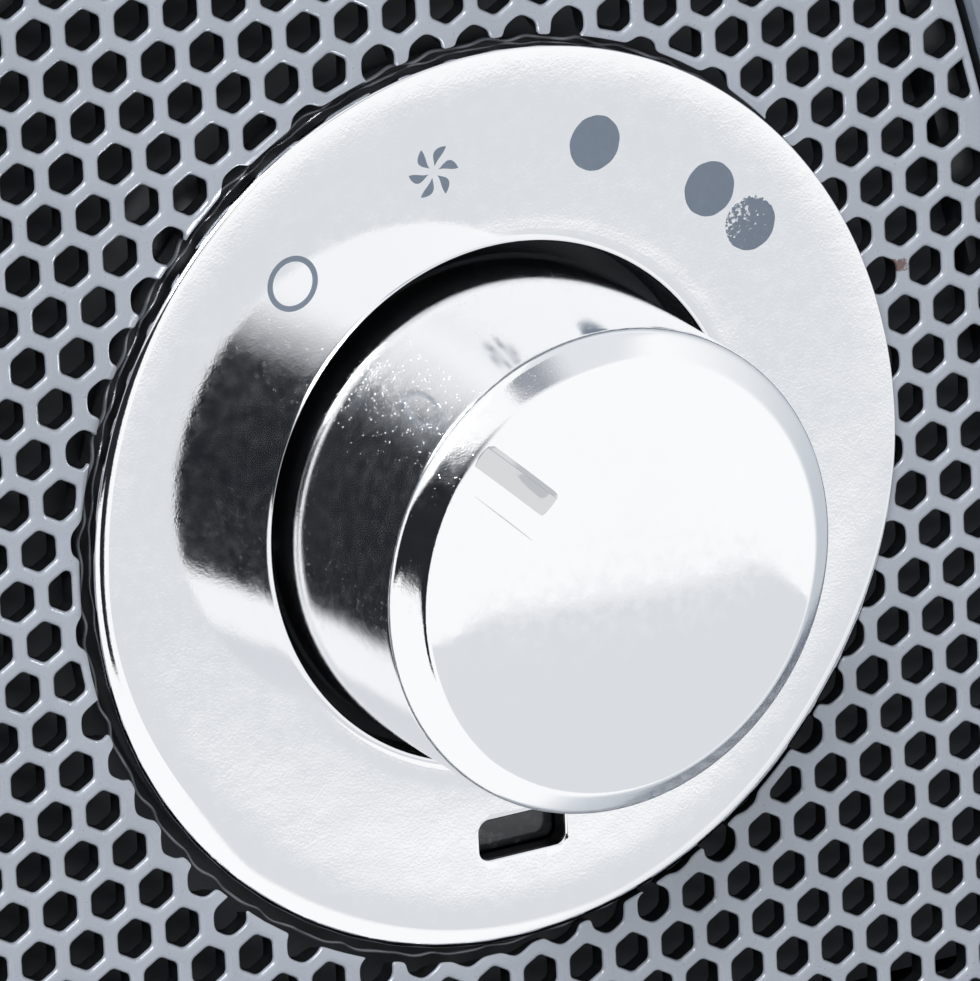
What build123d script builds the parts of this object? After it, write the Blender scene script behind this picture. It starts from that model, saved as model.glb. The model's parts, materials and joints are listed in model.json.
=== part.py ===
from build123d import *
import math
import os

os.makedirs("parts", exist_ok=True)

# ---------------------------------------------------------------- driving dimensions (mm)
# Frame: +X right seen from the front, +Y into the heater, +Z up. The front faces -Y.
# The origin is under the centre of the heater, on the surface it stands on.
PITCH = 4.2                 # hexagon pitch of the real front grille
Y_MESH = -56.0              # front surface of the front grille
MESH_T = 1.8                # thickness of the grille sheet
Y_FRAME = -57.5             # front edge of the front frame
Y_SPLIT = -24.0             # parting plane of front frame and rear shell
Y_COVER = 68.0              # parting plane of rear shell and rear cover
Y_SEAT = 69.2               # seat of the housing screws' heads in the rear cover
Y_BACK = 71.0               # back surface of the rear cover
Y_END = 75.0                # back surface of the intake cover
Y_NOSE = -75.0              # front of the knob
WALL = 3.0

Z_SOLE = 4.0                # underside of the housing, on the feet
Z_WIDE = 100.0              # height of the widest point
Z_TOP = 258.0               # top of the housing at the middle
HALF_OUT = 66.2             # half width of the housing at Z_WIDE
HALF_MESH = 58.2            # half width of the grille at Z_WIDE
R_SIDE_OUT = 423.0          # radius of the barrel sides, housing
R_SIDE_MESH = 415.0         # radius of the barrel sides, grille
Z_MESH_LOW = 24.0
Z_MESH_TOP = 247.0

BEZ_X, BEZ_Z = 2.0, 172.0   # axis of the control bezel
KN_X, KN_Z = 1.5, 171.3     # axis of the switch shaft and knob, which sits low in its well
R_CUT = 37.75               # cut-out in the grille, at its front surface
R_DRAWN = 36.55             # inner radius of the flange that is drawn in round the cut-out
R_BEZ = 36.2                # outer radius of the bezel
R_WELL = 20.6               # hole in the bezel round the knob
R_KNOB = 19.3               # radius of the knob's skirt
POINTER_DEG = -45.5         # clock angle of the pointer groove at rest, on the off ring
R_SHAFT = 3.0
RUN = 0.05                  # radial running clearance

Z_AIR = 82.0                # height of the fan axis and of the air duct
R_FAN = 45.0
R_RING = 48.0


def ring_half(z, half, radius):
    return half - radius + math.sqrt(radius ** 2 - (z - Z_WIDE) ** 2)


def outline(half, radius, z0, z1, top_sag, r_low, r_top):
    """Barrel outline in x, z: flat bottom, bowed sides, gently arched top."""
    w0 = ring_half(z0, half, radius)
    z_c = z1 - top_sag
    w1 = ring_half(z_c, half, radius)
    zm = (z0 + z_c) / 2
    wm = ring_half(zm, half, radius)
    edges = [
        Line((-w0, z0), (w0, z0)),
        ThreePointArc((w0, z0), (wm, zm), (w1, z_c)),
        ThreePointArc((w1, z_c), (0, z1), (-w1, z_c)),
        ThreePointArc((-w1, z_c), (-wm, zm), (-w0, z0)),
    ]
    sk = make_face(Wire(edges).edges())
    vs = sk.vertices()
    sk = fillet([v for v in vs if v.Y < z0 + 1], r_low)
    vs = sk.vertices()
    sk = fillet([v for v in vs if v.Y > z_c - 1 and v.Y < z_c + 1 and abs(v.X) > w1 - 1], r_top)
    return sk


def housing_outline(inset):
    return outline(HALF_OUT - inset, R_SIDE_OUT - inset, Z_SOLE + inset, Z_TOP - inset, 8.0, 16 - inset, 26 - inset)


def mesh_outline(grow):
    return outline(HALF_MESH + grow, R_SIDE_MESH + grow, Z_MESH_LOW - grow, Z_MESH_TOP + grow, 5.0, 14 + grow, 16 + grow)


def prism(sketch, y0, y1):
    """Extrudes an x, z sketch from y0 to y1."""
    return extrude(Plane((0, y1, 0), x_dir=(1, 0, 0), z_dir=(0, -1, 0)) * sketch, y1 - y0)


def rod(x, z, r, y0, y1):
    return prism(Pos(x, z) * Circle(r), y0, y1)


def box(x0, x1, y0, y1, z0, z1):
    return Pos((x0 + x1) / 2, (y0 + y1) / 2, (z0 + z1) / 2) * Box(x1 - x0, y1 - y0, z1 - z0)


def lathe(points, x, z):
    """Turns a closed (radius, y) polygon about the Y direction through x, z."""
    face = Pos(x, 0, z) * make_face(Polyline(*points, close=True))
    return revolve(face, Axis((x, 0, z), (0, 1, 0)), 360)


def save(name, shape):
    if isinstance(shape, (list, tuple)):
        shape = Compound(children=list(shape))
    export_step(shape, f"parts/{name}.step")


# ---------------------------------------------------------------- housing
screw_x = [-50.0, 50.0, -30.0, 30.0]
screw_z = [26.0, 26.0, 238.0, 238.0]
R_SCREW = 1.7
R_BOSS = 4.7

front = prism(housing_outline(0), Y_FRAME, Y_SPLIT)
front_edges = [e for e in front.edges() if abs(e.center().Y - Y_FRAME) < 0.01]
front = fillet(front_edges, 4.0)
front -= prism(mesh_outline(0.8), Y_FRAME - 1, Y_MESH + MESH_T)
front -= prism(mesh_outline(-3.6), Y_MESH + MESH_T - 1, -51.6)
front -= prism(housing_outline(WALL), -51.7, Y_SPLIT)
for x, z in zip(screw_x, screw_z):
    x_b = math.copysign(ring_half(z, HALF_OUT, R_SIDE_OUT) - 6.5, x) if abs(x) > 40 else x
    boss = prism(Pos(x_b, z) * Circle(R_BOSS), -51.7, Y_SPLIT)
    web_box = box(min(x_b, x_b * 1.0) - 1.2, x_b + 1.2, -51.7, Y_SPLIT, z, z + 12) if z > 200 else box(
        min(x_b, math.copysign(70, x_b)), max(x_b, math.copysign(70, x_b)), -51.7, Y_SPLIT, z - 1.2, z + 1.2)
    web_box = web_box & prism(housing_outline(WALL - 0.5), -51.7, Y_SPLIT)
    front += boss
    front += web_box
    front -= rod(x_b, z, R_SCREW + 0.05, -44, Y_SPLIT)
save("front_frame", front)

# the rear half is a hoop, closed at the back by a flat cover; the same four screws hold all three
GL_X, GL_Z = 34.0, 22.0
PL_X, PL_Y = 0.0, 10.0
HOOKS = [(-40, Z_AIR + 40), (40, Z_AIR + 40), (-40, Z_AIR - 40), (40, Z_AIR - 40)]
hoop = prism(housing_outline(0), Y_SPLIT, Y_COVER) - prism(housing_outline(WALL), Y_SPLIT - 1, Y_COVER + 1)
cover_r = prism(housing_outline(0), Y_COVER, Y_BACK)
cover_r = fillet([e for e in cover_r.edges() if abs(e.center().Y - Y_BACK) < 0.01], 2.4)
for x, z in zip(screw_x, screw_z):
    x_b = math.copysign(ring_half(z, HALF_OUT, R_SIDE_OUT) - 6.5, x) if abs(x) > 40 else x
    web_box = box(x_b - 1.2, x_b + 1.2, Y_SPLIT, Y_COVER, z, z + 12) if z > 200 else box(
        min(x_b, math.copysign(70, x_b)), max(x_b, math.copysign(70, x_b)), Y_SPLIT, Y_COVER, z - 1.2, z + 1.2)
    hoop += prism(Pos(x_b, z) * Circle(R_BOSS), Y_SPLIT, Y_COVER)
    hoop += web_box & prism(housing_outline(WALL - 0.5), Y_SPLIT, Y_COVER)
    hoop -= rod(x_b, z, R_SCREW + 0.1, Y_SPLIT, Y_COVER)
    cover_r -= rod(x_b, z, R_SCREW + 0.1, Y_COVER, Y_BACK)
    cover_r -= rod(x_b, z, 3.6, Y_SEAT, Y_BACK + 1)
# hole for the tilt plunger in the hoop; intake hole, inlet hole and slots for the four hooks in the cover
hoop -= Pos(PL_X, PL_Y, 6) * Cylinder(3.2, 12)
cover_r -= rod(0, Z_AIR, 46.0, Y_BACK - 8, Y_BACK + 1)
cover_r -= rod(GL_X, GL_Z, 7.0, Y_BACK - 8, Y_BACK + 1)
for x, z in HOOKS:
    cover_r -= box(x - 3.2, x + 3.2, Y_BACK - 8, Y_BACK + 1, z - 1.7, z + 1.7)
save("rear_shell", hoop)
save("rear_cover", cover_r)

screws = []
for x, z in zip(screw_x, screw_z):
    x_b = math.copysign(ring_half(z, HALF_OUT, R_SIDE_OUT) - 6.5, x) if abs(x) > 40 else x
    s = rod(x_b, z, R_SCREW, -40, Y_SEAT) + rod(x_b, z, 3.2, Y_SEAT, Y_BACK - 0.1)
    s -= box(x_b - 2.2, x_b + 2.2, Y_BACK - 1.0, Y_BACK, z - 0.4, z + 0.4)
    s -= box(x_b - 0.4, x_b + 0.4, Y_BACK - 1.0, Y_BACK, z - 2.2, z + 2.2)
    screws.append(s)
save("housing_screws", screws)

feet = []
for x, y in ((-38, -40), (38, -40), (-38, 52), (38, 52)):
    f = Pos(x, y, 2) * Cylinder(7.0, 4)
    f = chamfer(f.edges().group_by(Axis.Z)[0], 0.8)
    feet.append(f)
save("rubber_feet", feet)

# ---------------------------------------------------------------- front grille
# The sheet carries its hexagon pattern at twice the real pitch.
CP = 2 * PITCH
sheet_out = mesh_outline(0)
holes = []
row = 0
af = 0.715 * CP
rh = af / 2 / math.cos(math.pi / 6)
z = Z_MESH_LOW + 7
while z < Z_MESH_TOP - 6:
    n = 9
    for i in range(-n, n + 1):
        x = i * CP + (CP / 2 if row % 2 else 0)
        if z > Z_MESH_TOP - 5 - 0.002 * x * x - rh - 2.5 + 3:
            continue
        if abs(x) > ring_half(z, HALF_MESH, R_SIDE_MESH) - rh - 2.2:
            continue
        if z < Z_MESH_LOW + 16 and abs(x) > ring_half(z, HALF_MESH, R_SIDE_MESH) - 9:
            continue
        if z > Z_MESH_TOP - 20 and abs(x) > ring_half(z, HALF_MESH, R_SIDE_MESH) - 9:
            continue
        if math.hypot(x - BEZ_X, z - BEZ_Z) < R_CUT + rh + 1.5:
            continue
        holes.append(Wire.make_polygon(
            [(x + rh * math.sin(k * math.pi / 3), z + rh * math.cos(k * math.pi / 3)) for k in range(6)], close=True))
    z += CP * math.sqrt(3) / 2
    row += 1
cut = Wire.make_circle(R_CUT + 1.2, Plane((BEZ_X, BEZ_Z, 0)))
sheet_face = Face(sheet_out.faces()[0].outer_wire(), holes + [cut])
grille = prism(sheet_face, Y_MESH, Y_MESH + MESH_T)
# flange drawn in round the control
flange = lathe([
    (R_CUT + 1.2, Y_MESH), (R_CUT, Y_MESH), (R_CUT - 0.55, Y_MESH + 0.35), (R_CUT - 0.95, Y_MESH + 1.1), (R_DRAWN + 0.05, Y_MESH + 2.0),
    (R_DRAWN, Y_MESH + 3.0), (R_DRAWN + 1.0, Y_MESH + 3.0), (R_DRAWN + 1.2, Y_MESH + 2.3), (R_CUT + 0.5, Y_MESH + MESH_T), (R_CUT + 1.2, Y_MESH + MESH_T),
], BEZ_X, BEZ_Z)
grille = grille + flange
save("front_grille", grille)

# ---------------------------------------------------------------- control panel, bezel and lens
Y_PANEL = -51.7
panel = prism(housing_outline(4.0), Y_PANEL, Y_PANEL + 2.5)
panel &= box(-80, 80, Y_PANEL, Y_PANEL + 2.5, Z_AIR + 42.0, 300)
panel -= rod(KN_X, KN_Z, 5.3, Y_PANEL - 1, Y_PANEL + 4)
WIN_Z = BEZ_Z - 27.1
LAMP_R = 2.6
panel -= rod(BEZ_X, WIN_Z, LAMP_R + 0.2, Y_PANEL - 1, Y_PANEL + 4)
bez_ang = [90, 210, 330]
bez_pts = [(BEZ_X + 29 * math.cos(math.radians(a)), BEZ_Z + 29 * math.sin(math.radians(a))) for a in bez_ang]
for x, z in bez_pts:
    panel -= rod(x, z, 1.4, Y_PANEL - 1, Y_PANEL + 4)
sw_pts = [(KN_X - 18.6, KN_Z), (KN_X + 18.6, KN_Z)]
for x, z in sw_pts:
    panel -= rod(x, z, 1.55, Y_PANEL - 1, Y_PANEL + 4)
for x, z in zip(screw_x, screw_z):
    if z > 200:
        panel -= box(x - 5.2, x + 5.2, Y_PANEL - 1, Y_PANEL + 4, z - 5.2, 300)
save("control_panel", panel)

# Bezel: a shallow domed disc with a rolled outer edge, a soft inner lip and a stepped back.
prof = [
    (R_WELL, Y_PANEL), (R_WELL, Y_MESH + 0.9), (R_WELL + 0.25, Y_MESH + 0.2), (R_WELL + 0.9, Y_MESH - 0.35),
    (R_WELL + 2.0, Y_MESH - 0.75), (R_WELL + 3.2, Y_MESH - 0.85), (27.5, Y_MESH - 0.72), (31.5, Y_MESH - 0.42),
    (34.5, Y_MESH - 0.05), (35.4, Y_MESH + 0.12), (35.95, Y_MESH + 0.45), (R_BEZ, Y_MESH + 1.0), (R_BEZ, Y_PANEL),
    (R_BEZ - 1.5, Y_PANEL), (R_BEZ - 1.5, Y_MESH + 1.9), (31.0, Y_MESH + 1.3), (R_WELL + 1.6, Y_MESH + 1.1), (R_WELL + 1.6, Y_PANEL),
]
bezel = lathe(prof, BEZ_X, BEZ_Z)
for x, z in bez_pts:
    bezel += rod(x, z, 2.6, Y_MESH + 0.9, Y_PANEL) - rod(x, z, 1.15, Y_MESH + 2.0, Y_PANEL)
win_w, win_h = 7.8, 3.6
Y_LENS = Y_MESH + 1.5
bezel += prism(Pos(BEZ_X, WIN_Z) * RectangleRounded(win_w + 2.4, win_h + 2.4, 1.4), Y_MESH + 0.9, Y_MESH + 2.2)
bezel -= prism(Pos(BEZ_X, WIN_Z) * RectangleRounded(win_w, win_h, 0.9), Y_MESH - 3, Y_MESH + 3)
save("control_bezel", bezel)
bezel_screws = []
for x, z in bez_pts:
    s = rod(x, z, 1.1, Y_MESH + 2.2, Y_PANEL + 2.5) + rod(x, z, 2.4, Y_PANEL + 2.5, Y_PANEL + 4.2)
    s -= box(x - 1.8, x + 1.8, Y_PANEL + 3.5, Y_PANEL + 4.5, z - 0.3, z + 0.3)
    bezel_screws.append(s)
save("bezel_screws", bezel_screws)
lens = prism(Pos(BEZ_X, WIN_Z) * RectangleRounded(win_w - 0.2, win_h - 0.2, 0.8), Y_LENS, Y_MESH + 2.4)
lens += prism(Pos(BEZ_X, WIN_Z) * RectangleRounded(win_w + 3.0, win_h + 2.4, 0.9), Y_MESH + 2.3, Y_PANEL)
save("indicator_lens", lens)
lamp = rod(BEZ_X, WIN_Z, LAMP_R, Y_PANEL + 0.1, Y_PANEL + 12)
lamp = fillet(lamp.edges().group_by(Axis.Y)[0], 1.6)
lamp += rod(BEZ_X, WIN_Z, LAMP_R + 1.0, Y_PANEL + 9, Y_PANEL + 13)
save("indicator_lamp", lamp)

# ---------------------------------------------------------------- knob, shaft and switch
R_FACE = 17.0
h1, h2 = 17.1, 18.75
prof = [(3.5, Y_NOSE + 2.4), (3.5, Y_NOSE + 2.0), (0, Y_NOSE + 2.0), (0, Y_NOSE), (6, Y_NOSE + 0.03), (12, Y_NOSE + 0.12), (R_FACE, Y_NOSE + 0.25),
        (17.9, Y_NOSE + 0.45), (18.65, Y_NOSE + 0.95), (19.1, Y_NOSE + 1.6), (R_KNOB, Y_NOSE + 2.3), (R_KNOB, Y_MESH + 2.2),
        (R_KNOB - 0.3, Y_MESH + 2.6), (R_KNOB - 2.0, Y_MESH + 2.6), (R_KNOB - 2.0, Y_NOSE + 3.0), (17.0, Y_NOSE + 2.4)]
knob = lathe(prof, KN_X, KN_Z)
knob += rod(KN_X, KN_Z, 6.0, Y_NOSE + 2.0, Y_MESH + 1.5)
d_bore = (Pos(KN_X, KN_Z) * Circle(R_SHAFT + 0.03)) - (Pos(KN_X, KN_Z + R_SHAFT - 1.47 + 2.0) * Rectangle(8, 4.0))
knob -= prism(d_bore, Y_MESH - 12, Y_MESH + 2)
for k in range(6):
    a = math.radians(30 + 60 * k)
    rib = Pos(KN_X, 0, KN_Z) * Rot(0, math.degrees(a), 0) * box(5.6, R_KNOB - 1.8, Y_NOSE + 2.2, Y_MESH - 4, -0.6, 0.6)
    knob += rib
# pointer groove: open at the rim, round at its inner end
g = (Pos(0, 14.5) * Rectangle(3.4, 10.3)) + (Pos(0, 9.35) * Circle(1.7))
g = Pos(KN_X, KN_Z) * (Rot(0, 0, -POINTER_DEG) * g)
knob -= prism(g, Y_NOSE - 1, Y_NOSE + 0.95)
save("control_knob", knob)

d_shaft = (Circle(R_SHAFT)) - (Pos(0, R_SHAFT - 1.5 + 2.0) * Rectangle(8, 4.0))
shaft = prism(Pos(KN_X, KN_Z) * d_shaft, Y_MESH - 11.5, Y_MESH + 1.8) + rod(KN_X, KN_Z, R_SHAFT, Y_MESH + 1.8, -30)
shaft += rod(KN_X, KN_Z, 5.0, -34, -32)
save("switch_shaft", shaft)

switch = rod(KN_X, KN_Z, 5.2, Y_PANEL + 0.0, Y_PANEL + 2.5) + rod(KN_X, KN_Z, 15.0, Y_PANEL + 2.5, -28)
switch += box(KN_X - 22.6, KN_X + 22.6, Y_PANEL + 2.5, Y_PANEL + 4.5, KN_Z - 5, KN_Z + 5)
switch -= rod(KN_X, KN_Z, R_SHAFT + RUN, Y_PANEL - 1, -29.9 + 0)
switch -= rod(KN_X, KN_Z, 5.3, -36, -29.9)
for x, z in sw_pts:
    switch -= rod(x, z, 1.55, Y_PANEL + 2, Y_PANEL + 5)
save("rotary_switch", switch)
terms = []
for k in range(5):
    a = math.radians(36 + 72 * k)
    x, z = KN_X + 10 * math.cos(a), KN_Z + 10 * math.sin(a)
    terms.append(box(x - 2.4, x + 2.4, -28, -20, z - 0.4, z + 0.4))
save("switch_terminals", terms)
s_screws = []
for x, z in sw_pts:
    s = rod(x, z, 1.5, Y_PANEL + 0.2, Y_PANEL + 4.5) + rod(x, z, 2.8, Y_PANEL + 4.5, Y_PANEL + 6.3)
    s -= box(x - 2.0, x + 2.0, Y_PANEL + 5.6, Y_PANEL + 6.5, z - 0.3, z + 0.3)
    s_screws.append(s)
save("switch_screws", s_screws)

# ---------------------------------------------------------------- air duct and heating element
DUCT_W, DUCT_H = 104.0, 84.0
Y_DUCT0, Y_DUCT1 = Y_PANEL, 32.0
duct = box(-DUCT_W / 2, DUCT_W / 2, Y_DUCT0, Y_DUCT1, Z_AIR - DUCT_H / 2, Z_AIR + DUCT_H / 2 - 1)
duct -= box(-DUCT_W / 2 + 2, DUCT_W / 2 - 2, Y_DUCT0 - 1, Y_DUCT1 + 1, Z_AIR - DUCT_H / 2 + 2, Z_AIR + DUCT_H / 2 - 3)
flange = prism(Pos(0, Z_AIR) * RectangleRounded(104, 100, 12), Y_DUCT1, Y_DUCT1 + 2.5) - rod(0, Z_AIR, R_RING, Y_DUCT1 - 1, Y_DUCT1 + 4)
duct_f = flange
duct_out = box(-DUCT_W / 2 + 2, DUCT_W / 2 - 2, Y_DUCT1 - 0.5, Y_DUCT1 + 3, Z_AIR - DUCT_H / 2 + 2, Z_AIR + DUCT_H / 2 - 3)
duct = duct + duct_f
# ledges that stop the element frame
Y_EL0, Y_EL1 = -38.0, -20.0
duct += box(-DUCT_W / 2 + 1, -DUCT_W / 2 + 4, Y_EL1, Y_EL1 + 2, Z_AIR - DUCT_H / 2 + 2, Z_AIR + DUCT_H / 2 - 3)
duct += box(DUCT_W / 2 - 4, DUCT_W / 2 - 1, Y_EL1, Y_EL1 + 2, Z_AIR - DUCT_H / 2 + 2, Z_AIR + DUCT_H / 2 - 3)
duct -= box(DUCT_W / 2 - 3, DUCT_W / 2 + 1, Y_EL0 + 4, Y_EL1 - 4, Z_AIR - 26, Z_AIR + 26)
save("air_duct", duct)

EF_W, EF_H = DUCT_W - 4.4, DUCT_H - 5.4
ez = Z_AIR - 0.5
el_frame = box(-EF_W / 2, EF_W / 2, Y_EL0, Y_EL1, ez - EF_H / 2, ez + EF_H / 2)
N_BAR, FIN_H, BAR_H, GAP = 3, 9.4, 4.0, 0.4
ROW_H = 2 * FIN_H + BAR_H
stack_h = N_BAR * ROW_H + (N_BAR - 1) * GAP
FIN_W = 88.0
el_frame -= box(-FIN_W / 2 - 0.2, FIN_W / 2 + 0.2, Y_EL0 - 1, Y_EL1 + 1, ez - stack_h / 2 - 0.1, ez + stack_h / 2 + 0.1)
for k in range(N_BAR):
    zc = ez - stack_h / 2 + ROW_H / 2 + k * (ROW_H + GAP)
    for sx in (-1, 1):
        el_frame -= box(min(sx * 43, sx * 47.5), max(sx * 43, sx * 47.5), Y_EL0 + 2.8, Y_EL1 - 2.8, zc - 2.2, zc + 2.2)
    el_frame -= box(47, 52, Y_EL0 + 6, Y_EL1 - 6, zc - 0.7, zc + 0.7)
save("element_frame", el_frame)
bars, fins, tabs = [], [], []
for k in range(N_BAR):
    zc = ez - stack_h / 2 + ROW_H / 2 + k * (ROW_H + GAP)
    bars.append(box(-46.5, 46.5, Y_EL0 + 3, Y_EL1 - 3, zc - BAR_H / 2, zc + BAR_H / 2))
    for zb, zt in ((zc - BAR_H / 2 - FIN_H, zc - BAR_H / 2), (zc + BAR_H / 2, zc + BAR_H / 2 + FIN_H)):
        n = 28
        p = FIN_W / n
        t = 0.5
        up, dn = [], []
        top_pts, low_pts = [(-FIN_W / 2, zb + t)], [(-FIN_W / 2, zb)]
        for i in range(n):
            x0 = -FIN_W / 2 + i * p
            low_pts += [(x0 + p * 0.25 + t / 2, zb), (x0 + p * 0.25 + t / 2, zt - t), (x0 + p * 0.75 - t / 2, zt - t), (x0 + p * 0.75 - t / 2, zb)]
            top_pts += [(x0 + p * 0.25 - t / 2, zb + t), (x0 + p * 0.25 - t / 2, zt), (x0 + p * 0.75 + t / 2, zt), (x0 + p * 0.75 + t / 2, zb + t)]
        low_pts.append((FIN_W / 2, zb))
        top_pts.append((FIN_W / 2, zb + t))
        poly = low_pts + top_pts[::-1]
        fins.append(prism(make_face(Polyline(*poly, close=True)), Y_EL0 + 2, Y_EL1 - 2))
    tabs.append(box(46.5, 51.5, Y_EL0 + 6.2, Y_EL1 - 6.2, zc - 0.4, zc + 0.4))
save("ptc_bars", bars)
save("heat_fins", fins)
save("element_terminals", tabs)
# bimetal cut-out on the duct's roof, one-shot fuse beside it
zr = Z_AIR + DUCT_H / 2 - 1
cutout = Pos(-18, -8, zr + 3.5) * Cylinder(7.5, 7) + Pos(-18, -8, zr + 8) * Cylinder(5.5, 2.4)
cutout += box(-18 - 13, -18 - 5, -11, -5, zr + 3, zr + 3.8) + box(-18 + 5, -18 + 13, -11, -5, zr + 3, zr + 3.8)
save("thermal_cutout", cutout)
fuse = Pos(14, -8, zr + 2.2) * Rot(0, 90, 0) * Cylinder(2.2, 14)
fuse += Pos(14, -8, zr + 2.2) * Rot(0, 90, 0) * Cylinder(0.5, 26)
save("thermal_fuse", fuse)

# ---------------------------------------------------------------- fan, motor, shroud, intake
Y_F0, Y_F1 = 42.0, 60.0
shroud = rod(0, Z_AIR, R_RING + 2.5, Y_DUCT1 + 2.5, Y_BACK - WALL) - rod(0, Z_AIR, R_RING, Y_DUCT1 + 2, Y_BACK)
plate = prism(Pos(0, Z_AIR) * RectangleRounded(104, 100, 12), Y_DUCT1 + 2.5, Y_DUCT1 + 5.0) - rod(0, Z_AIR, R_RING, Y_DUCT1 + 2, Y_DUCT1 + 6)
shroud += plate
for x in (-44, 44):
    shroud += box(x - 6, x + 6, Y_DUCT1 + 2.5, Y_DUCT1 + 4.5, Z_AIR - 8, Z_AIR + 8) & (rod(0, Z_AIR, R_RING + 2, 0, 70))
    shroud -= rod(x * 42.5 / 44, Z_AIR, 1.45, Y_DUCT1, Y_DUCT1 + 6)
save("fan_shroud", shroud)
bracket = box(-47.0, 47.0, Y_DUCT1 + 0.7, Y_DUCT1 + 2.5, Z_AIR - 7, Z_AIR + 7)
bracket += rod(0, Z_AIR, 17, Y_DUCT1 + 0.7, Y_DUCT1 + 2.5)
bracket -= rod(0, Z_AIR, 5.5, Y_DUCT1 - 1, Y_DUCT1 + 4)
for sx in (-1, 1):
    bracket -= rod(sx * 42.5, Z_AIR, 1.55, Y_DUCT1 - 1, Y_DUCT1 + 4)
    bracket -= rod(sx * 12, Z_AIR, 1.35, Y_DUCT1 - 1, Y_DUCT1 + 4)
save("motor_bracket", bracket)
b_screws = []
for sx in (-1, 1):
    x = sx * 42.5
    s = rod(x, Z_AIR, 1.4, Y_DUCT1 + 0.7, Y_DUCT1 + 4.4) + rod(x, Z_AIR, 2.7, Y_DUCT1 - 1.1, Y_DUCT1 + 0.7)
    s -= box(x - 1.9, x + 1.9, Y_DUCT1 - 1.4, Y_DUCT1 - 0.4, Z_AIR - 0.3, Z_AIR + 0.3)
    b_screws.append(s)
    x = sx * 12
    s = rod(x, Z_AIR, 1.2, Y_DUCT1 - 2.2, Y_DUCT1 + 2.5) + rod(x, Z_AIR, 2.4, Y_DUCT1 + 2.5, Y_DUCT1 + 4.0)
    s -= box(x - 1.7, x + 1.7, Y_DUCT1 + 3.4, Y_DUCT1 + 4.4, Z_AIR - 0.3, Z_AIR + 0.3)
    b_screws.append(s)
save("motor_screws", b_screws)
YM0, YM1 = 4.0, Y_DUCT1 + 0.7
motor = rod(0, Z_AIR, 18.0, YM0, YM1)
motor = fillet(motor.edges().group_by(Axis.Y)[0], 2.0)
motor += rod(0, Z_AIR, 5.4, YM1, YM1 + 3.2)
motor -= rod(0, Z_AIR, 4.0, YM0 - 1, YM0 + 5) + rod(0, Z_AIR, 4.0, YM1 - 2.5, YM1 + 4)
motor -= rod(0, Z_AIR, 3.0, YM0 - 1, YM1 + 1)
for sx in (-1, 1):
    motor -= rod(sx * 12, Z_AIR, 1.25, YM1 - 3.2, YM1 + 1)
save("fan_motor", motor)
bushes = []
for y0, y1 in ((YM0, YM0 + 5), (YM1 - 2.5, YM1 + 3.2)):
    bushes.append(rod(0, Z_AIR, 4.0, y0, y1) - rod(0, Z_AIR, 2.0 + RUN, y0 - 1, y1 + 1))
save("motor_bushes", bushes)
save("motor_shaft", rod(0, Z_AIR, 2.0, YM0 - 3, Y_F1 - 1))

R_HUB = 17.0
hub = lathe([(2.0, Y_F0 + 0.5), (5.0, Y_F0 + 0.5), (5.0, Y_F1 - 4.2), (R_HUB - 1.8, Y_F1 - 4.2), (R_HUB - 1.8, Y_F0), (R_HUB, Y_F0),
             (R_HUB, Y_F1 - 4.5), (R_HUB - 1.0, Y_F1 - 2.6), (R_HUB - 3.5, Y_F1 - 1.8), (2.0, Y_F1 - 1.8)], 0, Z_AIR)
fan = hub
lim = rod(0, Z_AIR, R_FAN, Y_F0, Y_F1) - rod(0, Z_AIR, R_HUB - 0.9, Y_F0 - 1, Y_F1 + 1)
for k in range(7):
    blade = box(R_HUB - 3, R_FAN + 3, -0.8, 0.8, -13.5, 13.5)
    blade = Rot(38, 0, 0) * blade
    blade = Pos(0, (Y_F0 + Y_F1) / 2 - 0.4, Z_AIR) * Rot(0, 360 / 7 * k, 0) * blade
    blade &= lim
    fan += blade
save("fan_impeller", fan)

# intake cover at the back, with a pad of filter mesh behind its slots
cover_sk = Pos(0, Z_AIR) * RectangleRounded(100, 100, 20)
cover = prism(cover_sk, Y_BACK, Y_END)
cover = fillet(cover.edges().group_by(Axis.Y)[-1], 2.4)
cover -= prism(Pos(0, Z_AIR) * RectangleRounded(94, 94, 17), Y_BACK - 1, Y_END - 2.2)
cover += rod(0, Z_AIR, 45.8, Y_BACK - 1.2, Y_BACK + 2.5) - rod(0, Z_AIR, 44.2, Y_BACK - 3, Y_BACK + 3)
slots = None
for i in range(-8, 9):
    x = i * 5.0
    h = 2 * math.sqrt(max(42.0 ** 2 - x * x, 1))
    if abs(x) < 42 and h > 12:
        for s0, s1 in ((Z_AIR - h / 2, Z_AIR - 1.5), (Z_AIR + 1.5, Z_AIR + h / 2)):
            if s1 - s0 > 6:
                b = prism(Pos(x, (s0 + s1) / 2) * SlotOverall(s1 - s0, 2.8, rotation=90), Y_END - 5, Y_END + 1)
                slots = b if slots is None else slots + b
cover -= slots
for x, z in HOOKS:
    hook = box(x - 3, x + 3, Y_BACK - 5.2, Y_END - 2.2, z - 0.8, z + 0.6)
    hook += box(x - 3, x + 3, Y_BACK - 5.2, Y_BACK - 3.2, z - 0.8, z + 1.4)
    cover += hook
save("intake_cover", cover)
save("dust_filter", rod(0, Z_AIR, 44.0, Y_BACK - 1.0, Y_END - 2.2))

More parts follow.
